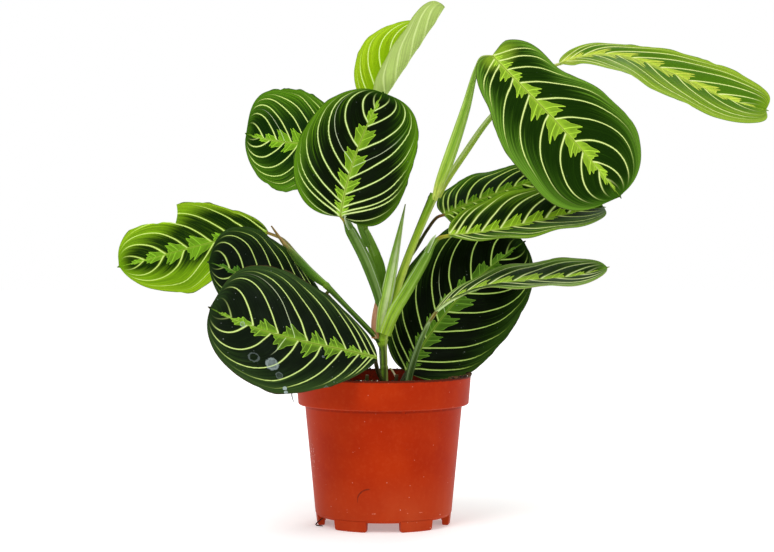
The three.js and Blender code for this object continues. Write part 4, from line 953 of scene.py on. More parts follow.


# route, width and depth are as the solids have them. leaf names the blade that a petiole carries.
# colours are (share of the way up, colour). seam is where a sheath's free edge runs round the stalk,
# in degrees from 0 at the right over 90 at the front. rings are the heights of its nodes. stripes are
# (middle in degrees, spread, colour). scales are the pointed ends of sheaths: (from, to, middle in
# degrees, half spread in degrees, lift).
# Some stripes are painted light: a dark stripe stands for shade down a stalk's side, and a pale one for a
# highlight.
STALKS = {
    "stem_main": stalk(
        route=((0.4, 0, 62), (0.4, 0, 100), (0, 0, 118), (-1, 0, 127), (2.6, 2, 140), (13, 4, 172),
               (23, 5, 198), (35, 6, 226)),
        width=(6, 5.8, 4.8, 8.4, 6.4, 5.6, 5.6, 6.2), depth=(6, 5.8, 5, 7.6, 6, 5.4, 5.4, 6),
        colours=((0, (62, 74, 32)), (0.26, (70, 88, 34)), (0.335, (84, 110, 38)), (0.36, (160, 204, 52)),
                 (0.5, (168, 210, 44)), (0.62, (196, 226, 70)), (0.74, (214, 236, 88)),
                 (0.86, (176, 212, 54)), (0.95, (122, 164, 30)), (1, (104, 146, 28))),
        ribs=0.7, rings=(107, 125.5, 223.5),
        # The dark stripe at 165 degrees, on the stem's left, is painted shade.
        stripes=((112, 0.3, (128, 170, 44)), (165, 0.45, (56, 74, 28)), (38, 0.3, (222, 240, 130))),
    ),
    "stem_back": stalk(
        route=((0, 10, 62), (0, 9, 100), (-1, 8, 126), (-1, 8, 150), (-3, 9, 176), (-13, 11, 200)),
        width=(4.4, 4.6, 4.8, 6, 7.8, 4.6), depth=(4.4, 4.6, 5, 4.6, 4.6, 3.4),
        colours=((0, (72, 92, 44)), (0.5, (84, 120, 40)), (0.8, (104, 148, 40)), (1, (124, 168, 40))),
        seam=130, edge=(150, 186, 92),
        scales=((0.86, 1.04, 60, 46, 0.3),),
    ),
    "spear_new_shoot": stalk(
        slot="stalk_pale",
        route=((-2, -4, 131), (0, -4.6, 145), (4, -4, 165), (9, -2, 190), (15, 0, 219)),
        width=(7, 8.6, 8, 5, 0.8), depth=(3, 3.4, 3.2, 2.4, 0.8),
        colours=((0, (182, 222, 66)), (0.2, (192, 226, 80)), (0.6, (166, 208, 70)), (0.92, (150, 186, 84)),
                 (1, (130, 130, 74))),
        seam=64, edge=(232, 242, 200), edge_spread=0.6, ribs=0.8,
        stripes=((168, 0.3, (222, 236, 190)), (140, 0.1, (96, 150, 36)), (112, 0.14, (110, 166, 40)),
                 (86, 0.08, (222, 236, 180)), (22, 0.35, (232, 242, 206)), (44, 0.08, (110, 166, 40))),
    ),
    "petiole_10": stalk(
        leaf="leaf_10_right_middle",
        route=((1, -6, 130), (6.5, -9.6, 144), (17, -12, 162), (28, -14, 181), (36, -15, 194.5)),
        width=(8, 8.4, 8, 6.6, 3.2), depth=(3, 3.6, 3.8, 3.6, 3),
        colours=((0, (184, 222, 62)), (0.2, (164, 206, 56)), (0.45, (124, 166, 44)), (0.7, (98, 138, 40)),
                 (0.8, (120, 148, 36)), (0.86, (168, 150, 40)), (0.94, (184, 176, 50)),
                 (1, (190, 190, 54))),
        seam=128, edge=(206, 224, 176),
        stripes=((100, 0.12, (100, 142, 48)), (66, 0.14, (166, 202, 96)), (30, 0.2, (110, 152, 50))),
        scales=((0.66, 0.84, 132, 42, 0.1),),
    ),
    "petiole_05": stalk(
        leaf="leaf_05_upper_middle",
        route=((-2, -1, 134), (-2, -3, 150), (-11, -8, 178), (-22, -15, 200), (-26, -21, 207)),
        width=(4, 6.4, 8, 7.6, 2.8), depth=(2.4, 3.4, 4.2, 3.6, 2.6),
        colours=((0, (76, 112, 30)), (0.3, (88, 124, 38)), (0.6, (94, 132, 42)), (0.74, (88, 128, 36)),
                 (0.82, (176, 158, 40)), (0.92, (220, 188, 66)), (1, (170, 160, 42))),
        seam=52, edge=(206, 222, 180), ribs=1.2,
        stripes=((84, 0.1, (168, 192, 128)), (112, 0.16, (66, 100, 30)), (150, 0.3, (80, 126, 34))),
        scales=((0.66, 0.86, 60, 46, 0.05),),
    ),
    "petiole_06": stalk(
        leaf="leaf_06_young_half_rolled",
        route=((-12, 12, 196), (-14, 16, 214), (-15, 26, 240), (-11, 38, 270)),
        width=(4.4, 3.6, 3, 2.8), depth=(3.6, 3.2, 3, 2.8),
        colours=((0, (116, 154, 50)), (0.6, (158, 196, 66)), (1, (186, 214, 84))),
        ribs=0.6,
    ),
    "petiole_04": stalk(
        leaf="leaf_04_upper_left",
        route=((-11, 8, 190), (-17, 6, 206), (-21, 4, 226), (-23, 4, 246)),
        width=(4.4, 3.6, 2.8, 2.6), depth=(3.4, 3.2, 2.8, 2.6),
        colours=((0, (96, 138, 42)), (0.7, (122, 160, 52)), (1, (168, 170, 62))),
        ribs=0.6,
    ),
    "petiole_07": stalk(
        leaf="leaf_07_upper_right",
        route=((35, 4, 222), (38, 2, 232), (44.8, 0, 250), (56, -4, 284), (63.3, -8, 311), (67, -8, 318)),
        width=(4, 6.4, 8, 6.4, 3.4, 2.8), depth=(3, 4, 4.4, 3.8, 2.8, 2.6),
        colours=((0, (204, 218, 92)), (0.12, (214, 226, 98)), (0.22, (172, 208, 66)), (0.4, (150, 192, 60)),
                 (0.62, (134, 176, 58)), (0.8, (122, 164, 54)), (0.88, (150, 172, 72)),
                 (1, (180, 190, 80))),
        seam=24, edge=(214, 230, 184),
        stripes=((140, 0.2, (196, 220, 120)), (96, 0.14, (108, 154, 48)), (60, 0.1, (190, 214, 120))),
    ),
    "petiole_08": stalk(
        leaf="leaf_08_far_right",
        route=((38, 8, 224), (43, 9, 234), (56, 10, 254), (74, 12, 279), (95, 14, 299), (113, 16, 313)),
        width=(3.4, 4.2, 4.4, 4, 3, 2.6), depth=(3, 3.8, 4, 3.8, 3, 2.6),
        colours=((0, (200, 216, 92)), (0.2, (186, 212, 80)), (0.5, (152, 186, 66)), (0.57, (170, 196, 84)),
                 (0.59, (232, 238, 190)), (0.62, (226, 234, 176)), (0.65, (176, 202, 84)),
                 (1, (198, 210, 88))),
        ribs=0.5, rings=(293,),
        # The whitish stripe at 120 degrees is a painted highlight line along the petiole.
        stripes=((120, 0.35, (222, 236, 170)),),
    ),
    "petiole_09": stalk(
        slot="stalk_brown", leaf="leaf_09_right_back",
        route=((14.5, 5, 178), (22, 10, 188), (30, 12.5, 201), (37, 11, 210)),
        width=(2.6, 2.6, 2.4, 2.2), depth=(2.6, 2.6, 2.4, 2.2),
        colours=((0, (64, 84, 32)), (0.5, (56, 54, 24)), (0.75, (84, 62, 30)), (0.88, (128, 84, 44)),
                 (1, (116, 104, 40))),
        ribs=0.8,
    ),
    "petiole_01": stalk(
        slot="stalk_brown", leaf="leaf_01_front_left",
        route=((-1, -2, 98), (-3.5, -10, 104), (-5, -24, 111)),
        width=(3, 2.8, 2.6), depth=(3, 2.8, 2.6),
        colours=((0, (100, 110, 58)), (0.5, (104, 96, 58)), (1, (112, 108, 56))),
        ribs=0.8,
    ),
    "petiole_11": stalk(
        slot="stalk_brown", leaf="leaf_11_lower_right",
        route=((11, 9, 62), (12, 10, 84), (13, 12, 96)),
        width=(3.6, 3.6, 3), depth=(3.4, 3.4, 3),
        colours=((0, (48, 52, 28)), (1, (60, 66, 34))),
        ribs=0.8,
    ),
    "petiole_12": stalk(
        leaf="leaf_12_right_front",
        route=((15, -9, 62), (16, -11, 92), (18, -14, 104), (23, -20, 121), (30, -26, 138)),
        width=(4, 4.6, 4.8, 4.2, 2.8), depth=(4, 4.2, 4, 3.6, 2.8),
        colours=((0, (66, 92, 42)), (0.4, (84, 114, 52)), (0.7, (84, 116, 46)), (0.83, (112, 118, 44)),
                 (0.92, (140, 112, 40)), (1, (124, 120, 44))),
        seam=96, edge=(160, 186, 126), ribs=1.6,
        stripes=((60, 0.14, (60, 84, 44)), (122, 0.12, (170, 196, 140)), (150, 0.2, (62, 88, 44)),
                 (30, 0.12, (160, 186, 124))),
        scales=((0.72, 0.84, 80, 44, 0.1),),
    ),
    "stem_left": stalk(
        route=((-3, -2, 125), (-9, -5, 132), (-24, -12, 148), (-40, -18, 165)),
        width=(3.4, 3.6, 3.6, 4.4), depth=(3.4, 3.4, 3.4, 4),
        colours=((0, (46, 72, 16)), (0.5, (54, 88, 18)), (0.9, (66, 104, 22)), (1, (128, 168, 44))),
        ribs=0.5, rings=(163.5,),
        # The lighter stripe at 60 degrees is a painted highlight down the stem's front.
        stripes=((60, 0.4, (110, 148, 54)),),
    ),
    "sheath_left": stalk(
        slot="stalk_pale",
        route=((-39, -18, 164), (-47, -16, 170), (-58, -11, 181), (-68, -5, 192), (-77, 2, 204)),
        width=(4, 6, 6, 2.6, 0.9), depth=(3, 3.2, 2.6, 1.4, 0.9),
        colours=((0, (128, 172, 40)), (0.15, (104, 150, 36)), (0.4, (84, 132, 34)), (0.62, (108, 134, 48)),
                 (0.74, (176, 140, 84)), (1, (164, 110, 66))),
        seam=40, edge=(176, 204, 130),
        stripes=((120, 0.5, (56, 92, 24)), (30, 0.2, (160, 196, 110))),
    ),
    "petiole_02": stalk(
        slot="stalk_brown", leaf="leaf_02_left",
        route=((-36, -16, 161), (-39, -12.5, 157.5)),
        width=(2.8, 2.4), depth=(2.6, 2.4),
        colours=((0, (110, 120, 60)), (1, (104, 92, 50))),
        ribs=0.6,
    ),
    "petiole_03": stalk(
        slot="stalk_brown", leaf="leaf_03_far_left",
        route=((-52, -10, 176), (-60, -1, 185), (-70, 10, 195)),
        width=(3, 2.6, 2.4), depth=(2.8, 2.6, 2.4),
        colours=((0, (122, 140, 64)), (0.6, (130, 118, 66)), (1, (150, 124, 60))),
        ribs=0.6,
    ),
    "dried_sheath": stalk(
        slot="sheath_dry",
        route=((-5.6, -4, 127), (-5.7, -3.8, 137), (-4.8, -3.4, 148), (-3.4, -3, 159)),
        width=(4.6, 5.4, 4, 0.9), depth=(1.2, 1.4, 1.2, 0.8),
        colours=((0, (176, 124, 66)), (0.3, (190, 138, 104)), (0.7, (196, 146, 112)), (1, (176, 118, 76))),
        seam=60, edge=(220, 186, 150), ribs=2.2,
        scales=((0.02, 0.2, 190, 60, 0.9), (0.0, 0.12, 120, 50, 1.0)),
    ),
    "stub_left": stalk(
        slot="stalk_pale",
        route=((-12, -16, 70), (-12, -16, 92), (-11, -17, 103)),
        width=(2.6, 2.8, 2.4), depth=(2.6, 2.6, 2),
        colours=((0, (52, 56, 28)), (0.6, (60, 72, 32)), (0.9, (76, 88, 40)), (1, (110, 96, 56))),
    ),
    "stub_right": stalk(
        slot="stalk_pale",
        route=((8, -14, 70), (8, -14, 92), (9, -15, 103)),
        width=(2.8, 3, 2.4), depth=(2.6, 2.8, 2.2),
        colours=((0, (52, 44, 28)), (0.6, (56, 54, 30)), (0.9, (74, 66, 42)), (1, (96, 80, 56))),
    ),
}

# Thin roots, which stand for no solid: over the rim at the left, round a foot, and curled at the stem
ROOTLETS = {
    "rootlet_on_rim": stalk(
        slot="stalk_brown",
        route=((-54, -8, 97), (-57.6, -8, 102.5), (-60.6, -8, 101.6), (-61.6, -8, 96), (-62.6, -8, 89),
               (-61.4, -8, 84)),
        width=(1.0, 1.0, 0.9, 0.9, 0.8, 0.4), depth=(1.0, 1.0, 0.9, 0.9, 0.8, 0.4),
        colours=((0, (60, 44, 30)), (1, (44, 30, 22))),
        ribs=0.2,
    ),
    "rootlet_at_foot": stalk(
        slot="stalk_brown",
        route=((-38, -10, 7), (-43.5, -12, 3.4), (-46, -14, 0.9), (-43.5, -17, 0.7), (-41, -19, 0.7)),
        width=(0.9, 0.9, 0.8, 0.7, 0.4), depth=(0.9, 0.9, 0.8, 0.7, 0.4),
        colours=((0, (70, 40, 30)), (1, (60, 36, 28))),
        ribs=0.2,
    ),
    "rootlet_at_stem": stalk(
        slot="stalk_pale",
        route=((4.4, -7, 107), (6.0, -9, 105.4), (8.0, -11, 102), (9.2, -12, 97), (9.2, -12, 91)),
        width=(0.9, 1.1, 1.2, 1.1, 0.9), depth=(0.9, 1.1, 1.2, 1.1, 0.9),
        colours=((0, (170, 176, 110)), (0.5, (206, 190, 160)), (1, (160, 130, 96))),
        ribs=0.3,
    ),
}


class Route:
    """A centripetal Catmull-Rom curve through points, as the solids follow it, with its sections."""

    def __init__(self, points, width, depth):
        self.points = np.asarray(points, float)
        self.width = np.asarray(width, float)
        self.depth = np.asarray(depth, float)
        self.spans = len(points) - 1

    def at(self, t):
        p = self.points
        p = np.concatenate([[2 * p[0] - p[1]], p, [2 * p[-1] - p[-2]]])
        t = np.clip(np.atleast_1d(t), 0, 1) * self.spans
        span = np.minimum(t.astype(int), self.spans - 1)
        w = (t - span)[:, None]
        a, b, c, d = (p[span + k] for k in range(4))
        d0, d1, d2 = (np.sqrt(np.linalg.norm(v, axis=1, keepdims=True)) for v in (b - a, c - b, d - c))
        leave = ((b - a) / d0 - (c - a) / (d0 + d1) + (c - b) / d1) * d1
        arrive = ((c - b) / d1 - (d - b) / (d1 + d2) + (d - c) / d2) * d1
        return (b + leave * w + (3 * (c - b) - 2 * leave - arrive) * w ** 2
                + (2 * (b - c) + leave + arrive) * w ** 3)

    def frame(self, t, step=1e-3):
        tangent = unit(self.at(np.clip(t + step, 0, 1)) - self.at(np.clip(t - step, 0, 1)))
        side = np.cross(tangent, (0, -1, 0))
        flat = np.linalg.norm(side, axis=1) < 0.2
        side[flat] = (1, 0, 0)
        side = unit(side)
        return side, unit(np.cross(side, tangent)), tangent

    def size(self, t):
        """Half the width and half the depth at each t."""
        knots = np.linspace(0, 1, self.spans + 1)
        return smooth_through(t, knots, self.width) / 2, smooth_through(t, knots, self.depth) / 2

    def length(self):
        return np.linalg.norm(np.diff(self.at(np.linspace(0, 1, 200)), axis=0), axis=1).sum()


def smooth_through(t, knots, values):
    """Eased steps between values, so that a stalk swells and narrows without corners."""
    t = np.clip(t, 0, 1)
    span = np.clip(np.searchsorted(knots, t, side="right") - 1, 0, len(knots) - 2)
    w = (t - knots[span]) / (knots[span + 1] - knots[span])
    slopes = np.gradient(values, knots)
    low, high = values[span], values[span + 1]
    gap = knots[span + 1] - knots[span]
    flat = (high - low) / gap

    def limited(slope):
        return np.where(slope * flat > 0, np.sign(slope) * np.minimum(abs(slope), 3 * abs(flat)), 0)

    a, b = limited(slopes[span]) * gap, limited(slopes[span + 1]) * gap
    return (low * (2 * w ** 3 - 3 * w ** 2 + 1) + a * (w ** 3 - 2 * w ** 2 + w)
            + high * (3 * w ** 2 - 2 * w ** 3) + b * (w ** 3 - w ** 2))


def colour_along(stops, share):
    """Linear colours along a stalk, from its table of stops."""
    places = [place for place, _ in stops]
    colours = np.array([linear(colour)[:3] for _, colour in stops])
    return np.stack([np.interp(share, places, colours[:, k]) for k in range(3)], -1)


def stalk_route(own):
    """The curve of a stalk. A petiole's runs on into its blade, close under the midrib."""
    points, width, depth = list(own["route"]), list(own["width"]), list(own["depth"])
    if own["leaf"]:
        blade = Blade(LEAVES[own["leaf"]])
        base = np.array([0.0])
        start = blade.rib_at(base)[0] + blade.rib_direction(base)[0] * JOINED
        points.append(tuple(start - blade.normal(0.0, 0.0) * UNDER_BLADE))
        width.append(width[-1] * 0.8)
        depth.append(depth[-1] * 0.8)
    return Route(points, width, depth)


def stalk_colours(own, t, turn, since_seam):
    """The colour of each point: along the stalk, striped, where some stripes are painted highlights and
    shade, and pale along a sheath's free edge.
    """
    colour = np.repeat(colour_along(own["colours"], t)[:, None], STALK_SIDES, axis=1)
    for angle, spread, tint in own["stripes"]:
        away = np.angle(np.exp(1j * (turn - math.radians(angle))))
        share = 0.8 * np.exp(-((away / spread) ** 2))[None, :, None]
        colour = colour * (1 - share) + np.array(linear(tint)[:3]) * share
    if own["seam"] is not None:
        apart = np.minimum(since_seam, 2 * np.pi - since_seam)
        near = np.exp(-((apart / own["edge_spread"]) ** 2)) * (since_seam < np.pi)
        fades = np.clip((SEAM_EDGE_ENDS - t) / 0.1, 0, 1)[:, None]
        share = (0.62 * near[None, :] * fades)[..., None]
        colour = colour * (1 - share) + np.array(linear(own["edge"])[:3]) * share
    return colour


def tube_faces(rings, sides):
    """Quads round a tube of rings of points, and fans to the two end points that follow them."""
    ring, corner = np.meshgrid(np.arange(rings - 1), np.arange(sides), indexing="ij")
    low, high, after = ring * sides, (ring + 1) * sides, (corner + 1) % sides
    quads = np.stack([low + corner, low + after, high + after, high + corner], -1).reshape(-1, 4)[:, ::-1]
    faces = quads.tolist()
    start, end, last = rings * sides, rings * sides + 1, (rings - 1) * sides
    for k in range(sides):
        following = (k + 1) % sides
        faces.append([start, k, following])
        faces.append([end, last + following, last + k])
    return faces


def stalk_piece(name, own, material):
    route = stalk_route(own)
    length = route.length()
    t = np.linspace(0, 1, max(int(length / STALK_STEP), FEWEST_STEPS) + 1)
    seam = math.radians(own["seam"] or 0)
    turn = seam + np.linspace(SEAM_GAP, 2 * np.pi - SEAM_GAP, STALK_SIDES)
    since_seam = turn - seam
    side, front, _ = route.frame(t)
    a, b = route.size(t)
    centre = route.at(t)
    swell = np.zeros(len(t))
    for ring in own["rings"]:
        above = centre[:, 2] - ring
        swell += RING_LIP * np.exp(-((above / RING_HALF_HEIGHT) ** 2))
        swell -= RING_LIP * 0.7 * np.exp(-(((above - 2 * RING_HALF_HEIGHT) / RING_HALF_HEIGHT) ** 2))
    lip = SEAM_LIP * np.exp(-since_seam / SEAM_LIP_SPREAD) * (own["seam"] is not None)
    lips = (lip + RIB_LIP * own["ribs"] * np.cos(turn * RIBS_AROUND))[None, :]
    wobble = WOBBLE * np.sin(turn[None, :] * 2 + t[:, None] * length * 0.11 + length)
    radius_x = a[:, None] + swell[:, None] + lips * np.minimum(a / 2.5, 1)[:, None] + wobble
    radius_y = b[:, None] + swell[:, None] + lips * np.minimum(b / 2, 1)[:, None] + wobble
    skin = (centre[:, None] + side[:, None] * (np.cos(turn)[None, :] * radius_x)[..., None]
            + front[:, None] * (np.sin(turn)[None, :] * radius_y)[..., None])
    colour = stalk_colours(own, t, turn, since_seam)
    places = np.stack(np.broadcast_arrays(
        np.cos(turn)[None, :] * a[:, None], np.sin(turn)[None, :] * a[:, None], (t * length)[:, None]), -1)

    # Each of the stored values has the skin's points, the two ends, and then the scales
    vertices = [skin.reshape(-1, 3), centre[:1], centre[-1:]]
    colours = [colour.reshape(-1, 3), colour[0, :1], colour[-1, :1]]
    spots = [places.reshape(-1, 3), places[0, :1] * 0, places[-1, :1] * (0, 0, 1)]
    faces = tube_faces(len(t), STALK_SIDES)
    count = len(t) * STALK_SIDES + 2
    for scale in own["scales"]:
        grid, tint, spot = scale_grid(route, own, scale, length)
        faces += (thin_body(SCALE_ROWS, SCALE_COLUMNS)[0] + count).tolist()
        vertices.append(grid)
        colours.append(tint)
        spots.append(spot)
        count += len(grid)
    nodes = [name] if name in STALKS else []
    points = np.concatenate(vertices)
    piece = new_piece(name + "_skin", points, faces, [material], nodes, own["slot"], sharp=40)
    store(piece.data, "stalk_colour", np.concatenate(colours), "POINT")
    store(piece.data, "stalk_place", np.concatenate(spots), "POINT")
    return piece


def scale_grid(route, own, scale, length):
    """The pointed free end of a sheath: two grids of points, with their colours and places."""
    begin, end, middle, spread, lift = scale
    share = np.linspace(0, 1, SCALE_ROWS)[:, None]
    across = np.linspace(-1, 1, SCALE_COLUMNS)[None, :]
    t = np.clip(begin + (end - begin) * share, 0, 1)
    half = math.radians(spread) * np.clip(1 - share ** 2.4, 0.01, 1) ** 0.9
    angle = math.radians(middle) + half * across
    a, b = route.size(np.array([begin]))
    side, front, tangent = (v[0] for v in route.frame(np.array([begin + 0.3 * (end - begin)])))
    centre = route.at(t[:, 0])
    base = centre[0] + tangent * ((t - begin) * length)
    axis = centre + (base - centre) * 0.5
    out = lift * share ** 1.3
    grids = []
    for thick in (SCALE_THICKNESS, 0.0):
        reach_x = a[0] + 0.1 + thick + out
        reach_y = b[0] + 0.1 + thick + out
        grids.append(axis[:, None] + side * (np.cos(angle) * reach_x)[..., None]
                     + front * (np.sin(angle) * reach_y)[..., None])
    points = np.concatenate([grid.reshape(-1, 3) for grid in grids])
    green = colour_along(own["colours"], np.full(1, begin))[0]
    pale = np.array(linear(own["edge"])[:3])
    rim = np.clip(np.abs(across) ** 3 + share ** 2 * 0.9, 0, 1)[..., None]
    tint = (green * (1 - rim) + pale * rim).reshape(-1, 3)
    spot = np.broadcast_arrays(np.cos(angle) * a[0], np.sin(angle) * a[0], t * length)
    spot = np.stack(spot, -1).reshape(-1, 3)
    return points, np.concatenate([tint, tint]), np.concatenate([spot, spot])


def stalk_material(name, streaks, roughness, through):
    """Sheaths and stems: their stored colour, with lines along them, flecks and a satin gloss."""
    graph = Graph(name)
    stored = graph.node("ShaderNodeAttribute", attribute_name="stalk_colour")
    base = Field(graph, stored.outputs["Vector"])
    x, y, along = graph.stored("stalk_place")
    lines = graph.noise(graph.vector(x * 2.6, y * 2.6, along * 0.045), detail=3.0, roughness=0.6)
    fibres = graph.noise(graph.vector(x * 7.0, y * 7.0, along * 0.12), detail=1.0)
    blotches = graph.noise(graph.vector(x * 0.4, y * 0.4, along * 0.16), detail=2.0)
    flecks = graph.cells(graph.vector(x * 1.3, y * 1.3, along * 0.5))
    darker = graph.lighter(base, 0.62, 1.04)
    lighter = graph.lighter(base, 1.35, 0.94)
    colour = graph.layers(
        base,
        (lines.step(0.52, 0.34) * streaks, darker),
        (lines.step(0.52, 0.7) * streaks, lighter),
        (blotches.step(0.5, 0.75) * 0.35, darker),
        (flecks.step(0.14, 0.05) * 0.35, lighter))
    return graph.shade(colour, lines * 0.6 + fibres * 0.35, fibres * 0.2 + roughness, bump_mm=0.35,
                       through=colour, through_share=through, Specular_IOR_Level=STALK_SHINE)


def make_stalks():
    materials = {slot: stalk_material(slot, *look) for slot, look in STALK_KINDS.items()}
    for name, own in (STALKS | ROOTLETS).items():
        stalk_piece(name, own, materials[own["slot"]])


# Pot: sizes as the solid has them, in millimetres

POT_HEIGHT = 102
RIM_RADIUS = 60
RIM_RADIUS_BELOW = 58.4
RIM_BAND = 20
BODY_RADIUS_TOP = 53.9
BODY_RADIUS_BOTTOM = 46.8
BODY_CHAMFER = 1.2
WALL = 1.4
FOOT_HEIGHT = 6.4
FOOT_COUNT = 6
FIRST_FOOT_AT = -60
FOOT_ANGLE = 31
FOOT_DEPTH = 5
FLOOR = 1.6
DRAIN_COUNT = 8
DRAIN_RADIUS = 4
DRAIN_CIRCLE = 30
POT_SIDES = 180
CORNER_STEPS = 5
OUTLINE_STEP = 6
FOOT_STEPS = 16
DRAIN_SIDES = 32
# A foot's outline from below: height, and how much it draws in at its ends and at its sides
FOOT_ROWS = ((0, 1.2, 0.6), (0.5, 0.5, 0.1), (1.6, 0.2, 0), (FOOT_HEIGHT - 0.8, 0, 0),
             (FOOT_HEIGHT + 0.8, 0, 0))

# The plastic's colours, and where it is scuffed and scratched, in millimetres
POT_DEEP = (164, 38, 0)
POT_MIDDLE = (175, 47, 3)
POT_PALE = (190, 78, 40)
# Painted shade on the pot's inner wall above the soil
INNER_WALL_SHADE = (84, 22, 10)
PALE_SPECK = (232, 196, 176)
BROWN_DIRT = (96, 34, 20)
SCUFF = (244, 170, 140)
RUBBED = (246, 222, 206)
# A painted highlight along the ledge's edge, and wear
LEDGE_HIGHLIGHT_AND_WEAR = (224, 128, 96)
# Painted shade in the groove under the rim's band
SHADE_UNDER_RIM = (112, 26, 8)
RIM_FILM = (70, 26, 14)
SCUFF_HEIGHT = 13.0
SCRATCH_CENTRE = (-9.0, 21.0)
SCRATCH_RADIUS = 8.5

# Soil: its surface, and the crumbs on it
SOIL_TOP = 90
SOIL_LUMP = 1.6
SOIL_EDGE = RIM_RADIUS_BELOW - WALL - 0.3
SOIL_RINGS = 70
SOIL_SIDES = 200
CRUMB_COUNT = 620
# Crumbs on the rim: from and to this angle round it, how many, and the largest
RIM_CRUMBS = ((-42, 12, 130, 1.4), (-114, -94, 34, 0.7), (-94, -42, 30, 0.55), (150, 185, 14, 0.9),
              (30, 150, 30, 0.9))
# Each kind of grain, with its dark and its light colour
SOIL_KINDS = {
    "soil_dark": ((30, 20, 14), (58, 40, 26)),
    "soil_bark": ((64, 42, 24), (112, 78, 44)),
    "soil_perlite": ((206, 202, 190), (238, 236, 228)),
}
DARK, BARK, PERLITE = range(len(SOIL_KINDS))


def rounded(points, radii):
    """A closed outline with its corners rounded by arcs of the given radii."""
    points = np.asarray(points, float)
    outline = []
    for k, radius in enumerate(radii):
        corner, before, after = points[k], points[k - 1], points[(k + 1) % len(points)]
        if radius == 0:
            outline.append(corner)
            continue
        to_before, to_after = unit(before - corner), unit(after - corner)
        half = math.acos(np.clip(to_before @ to_after, -1, 1)) / 2
        cut = radius / math.tan(half)
        centre = corner + unit(to_before + to_after) * radius / math.sin(half)
        start, end = corner + to_before * cut - centre, corner + to_after * cut - centre
        for step in np.linspace(0, 1, CORNER_STEPS):
            outline.append(centre + unit(start * (1 - step) + end * step) * radius)
    return np.array(outline)


def turned(outline, sides):
    """A closed body turned about the pot's axis. The outline starts and ends on the axis."""
    inner = outline[1:-1]
    angle = np.linspace(0, 2 * np.pi, sides, endpoint=False)
    ring = np.stack([np.cos(angle), np.sin(angle)], -1)
    points = [(0, 0, outline[0][1])]
    for radius, height in inner:
        points += [(radius * x, radius * y, height) for x, y in ring]
    points.append((0, 0, outline[-1][1]))
    faces = []
    last = len(points) - 1
    for k in range(sides):
        after = (k + 1) % sides
        faces.append([0, 1 + after, 1 + k])
        top = 1 + (len(inner) - 1) * sides
        faces.append([last, top + k, top + after])
        for row in range(len(inner) - 1):
            low, high = 1 + row * sides, 1 + (row + 1) * sides
            faces.append([low + k, low + after, high + after, high + k])
    return np.array(points, float), faces


def plain_object(name, points, faces):
    mesh = bpy.data.meshes.new(name)
    mesh.from_pydata(np.asarray(points).tolist(), [], faces)
    return in_scene(name, mesh)


def subdivided(outline):
    """The outline with points put in along its long sides."""
    points = []
    for point, following in zip(outline[:-1], outline[1:]):
        gaps = int(np.linalg.norm(following - point) / OUTLINE_STEP)
        points += [point + (following - point) * j / (gaps + 1) for j in range(gaps + 1)]
    points.append(outline[-1])
    return points


def combined(item, other, operation):
    """Joins other to item, or cuts it out, for good, and removes other."""
    modifier = item.modifiers.new(operation, "BOOLEAN")
    modifier.object = other
    modifier.operation = operation
    modifier.solver = "EXACT"
    result = bpy.data.meshes.new_from_object(item.evaluated_get(bpy.context.evaluated_depsgraph_get()))
    item.modifiers.clear()
    item.data = result
    bpy.data.objects.remove(other)


def foot_body(middle):
    """One foot: a rounded piece of a ring that narrows downwards, sunk into the floor."""
    outer = BODY_RADIUS_BOTTOM - 0.5
    points, faces = [], []
    for height, squeeze, inset in FOOT_ROWS:
        half = math.radians(FOOT_ANGLE / 2) - squeeze / outer
        angle = math.radians(middle) + np.linspace(-half, half, FOOT_STEPS)
        taper = 0.7 * (1 - height / FOOT_HEIGHT)
        far = outer - inset - taper
        near = outer - FOOT_DEPTH + inset
        points += [(far * math.cos(v), far * math.sin(v), height) for v in angle]
        points += [(near * math.cos(v), near * math.sin(v), height) for v in angle[::-1]]
    around = 2 * FOOT_STEPS
    for row in range(len(FOOT_ROWS) - 1):
        for k in range(around):
            after = (k + 1) % around
            low, high = row * around, (row + 1) * around
            faces.append([low + k, low + after, high + after, high + k])
    top = (len(FOOT_ROWS) - 1) * around
    for k in range(FOOT_STEPS - 1):
        faces.append([k, around - 1 - k, around - 2 - k, k + 1])
        faces.append([top + k, top + k + 1, top + around - 2 - k, top + around - 1 - k])
    return points, faces


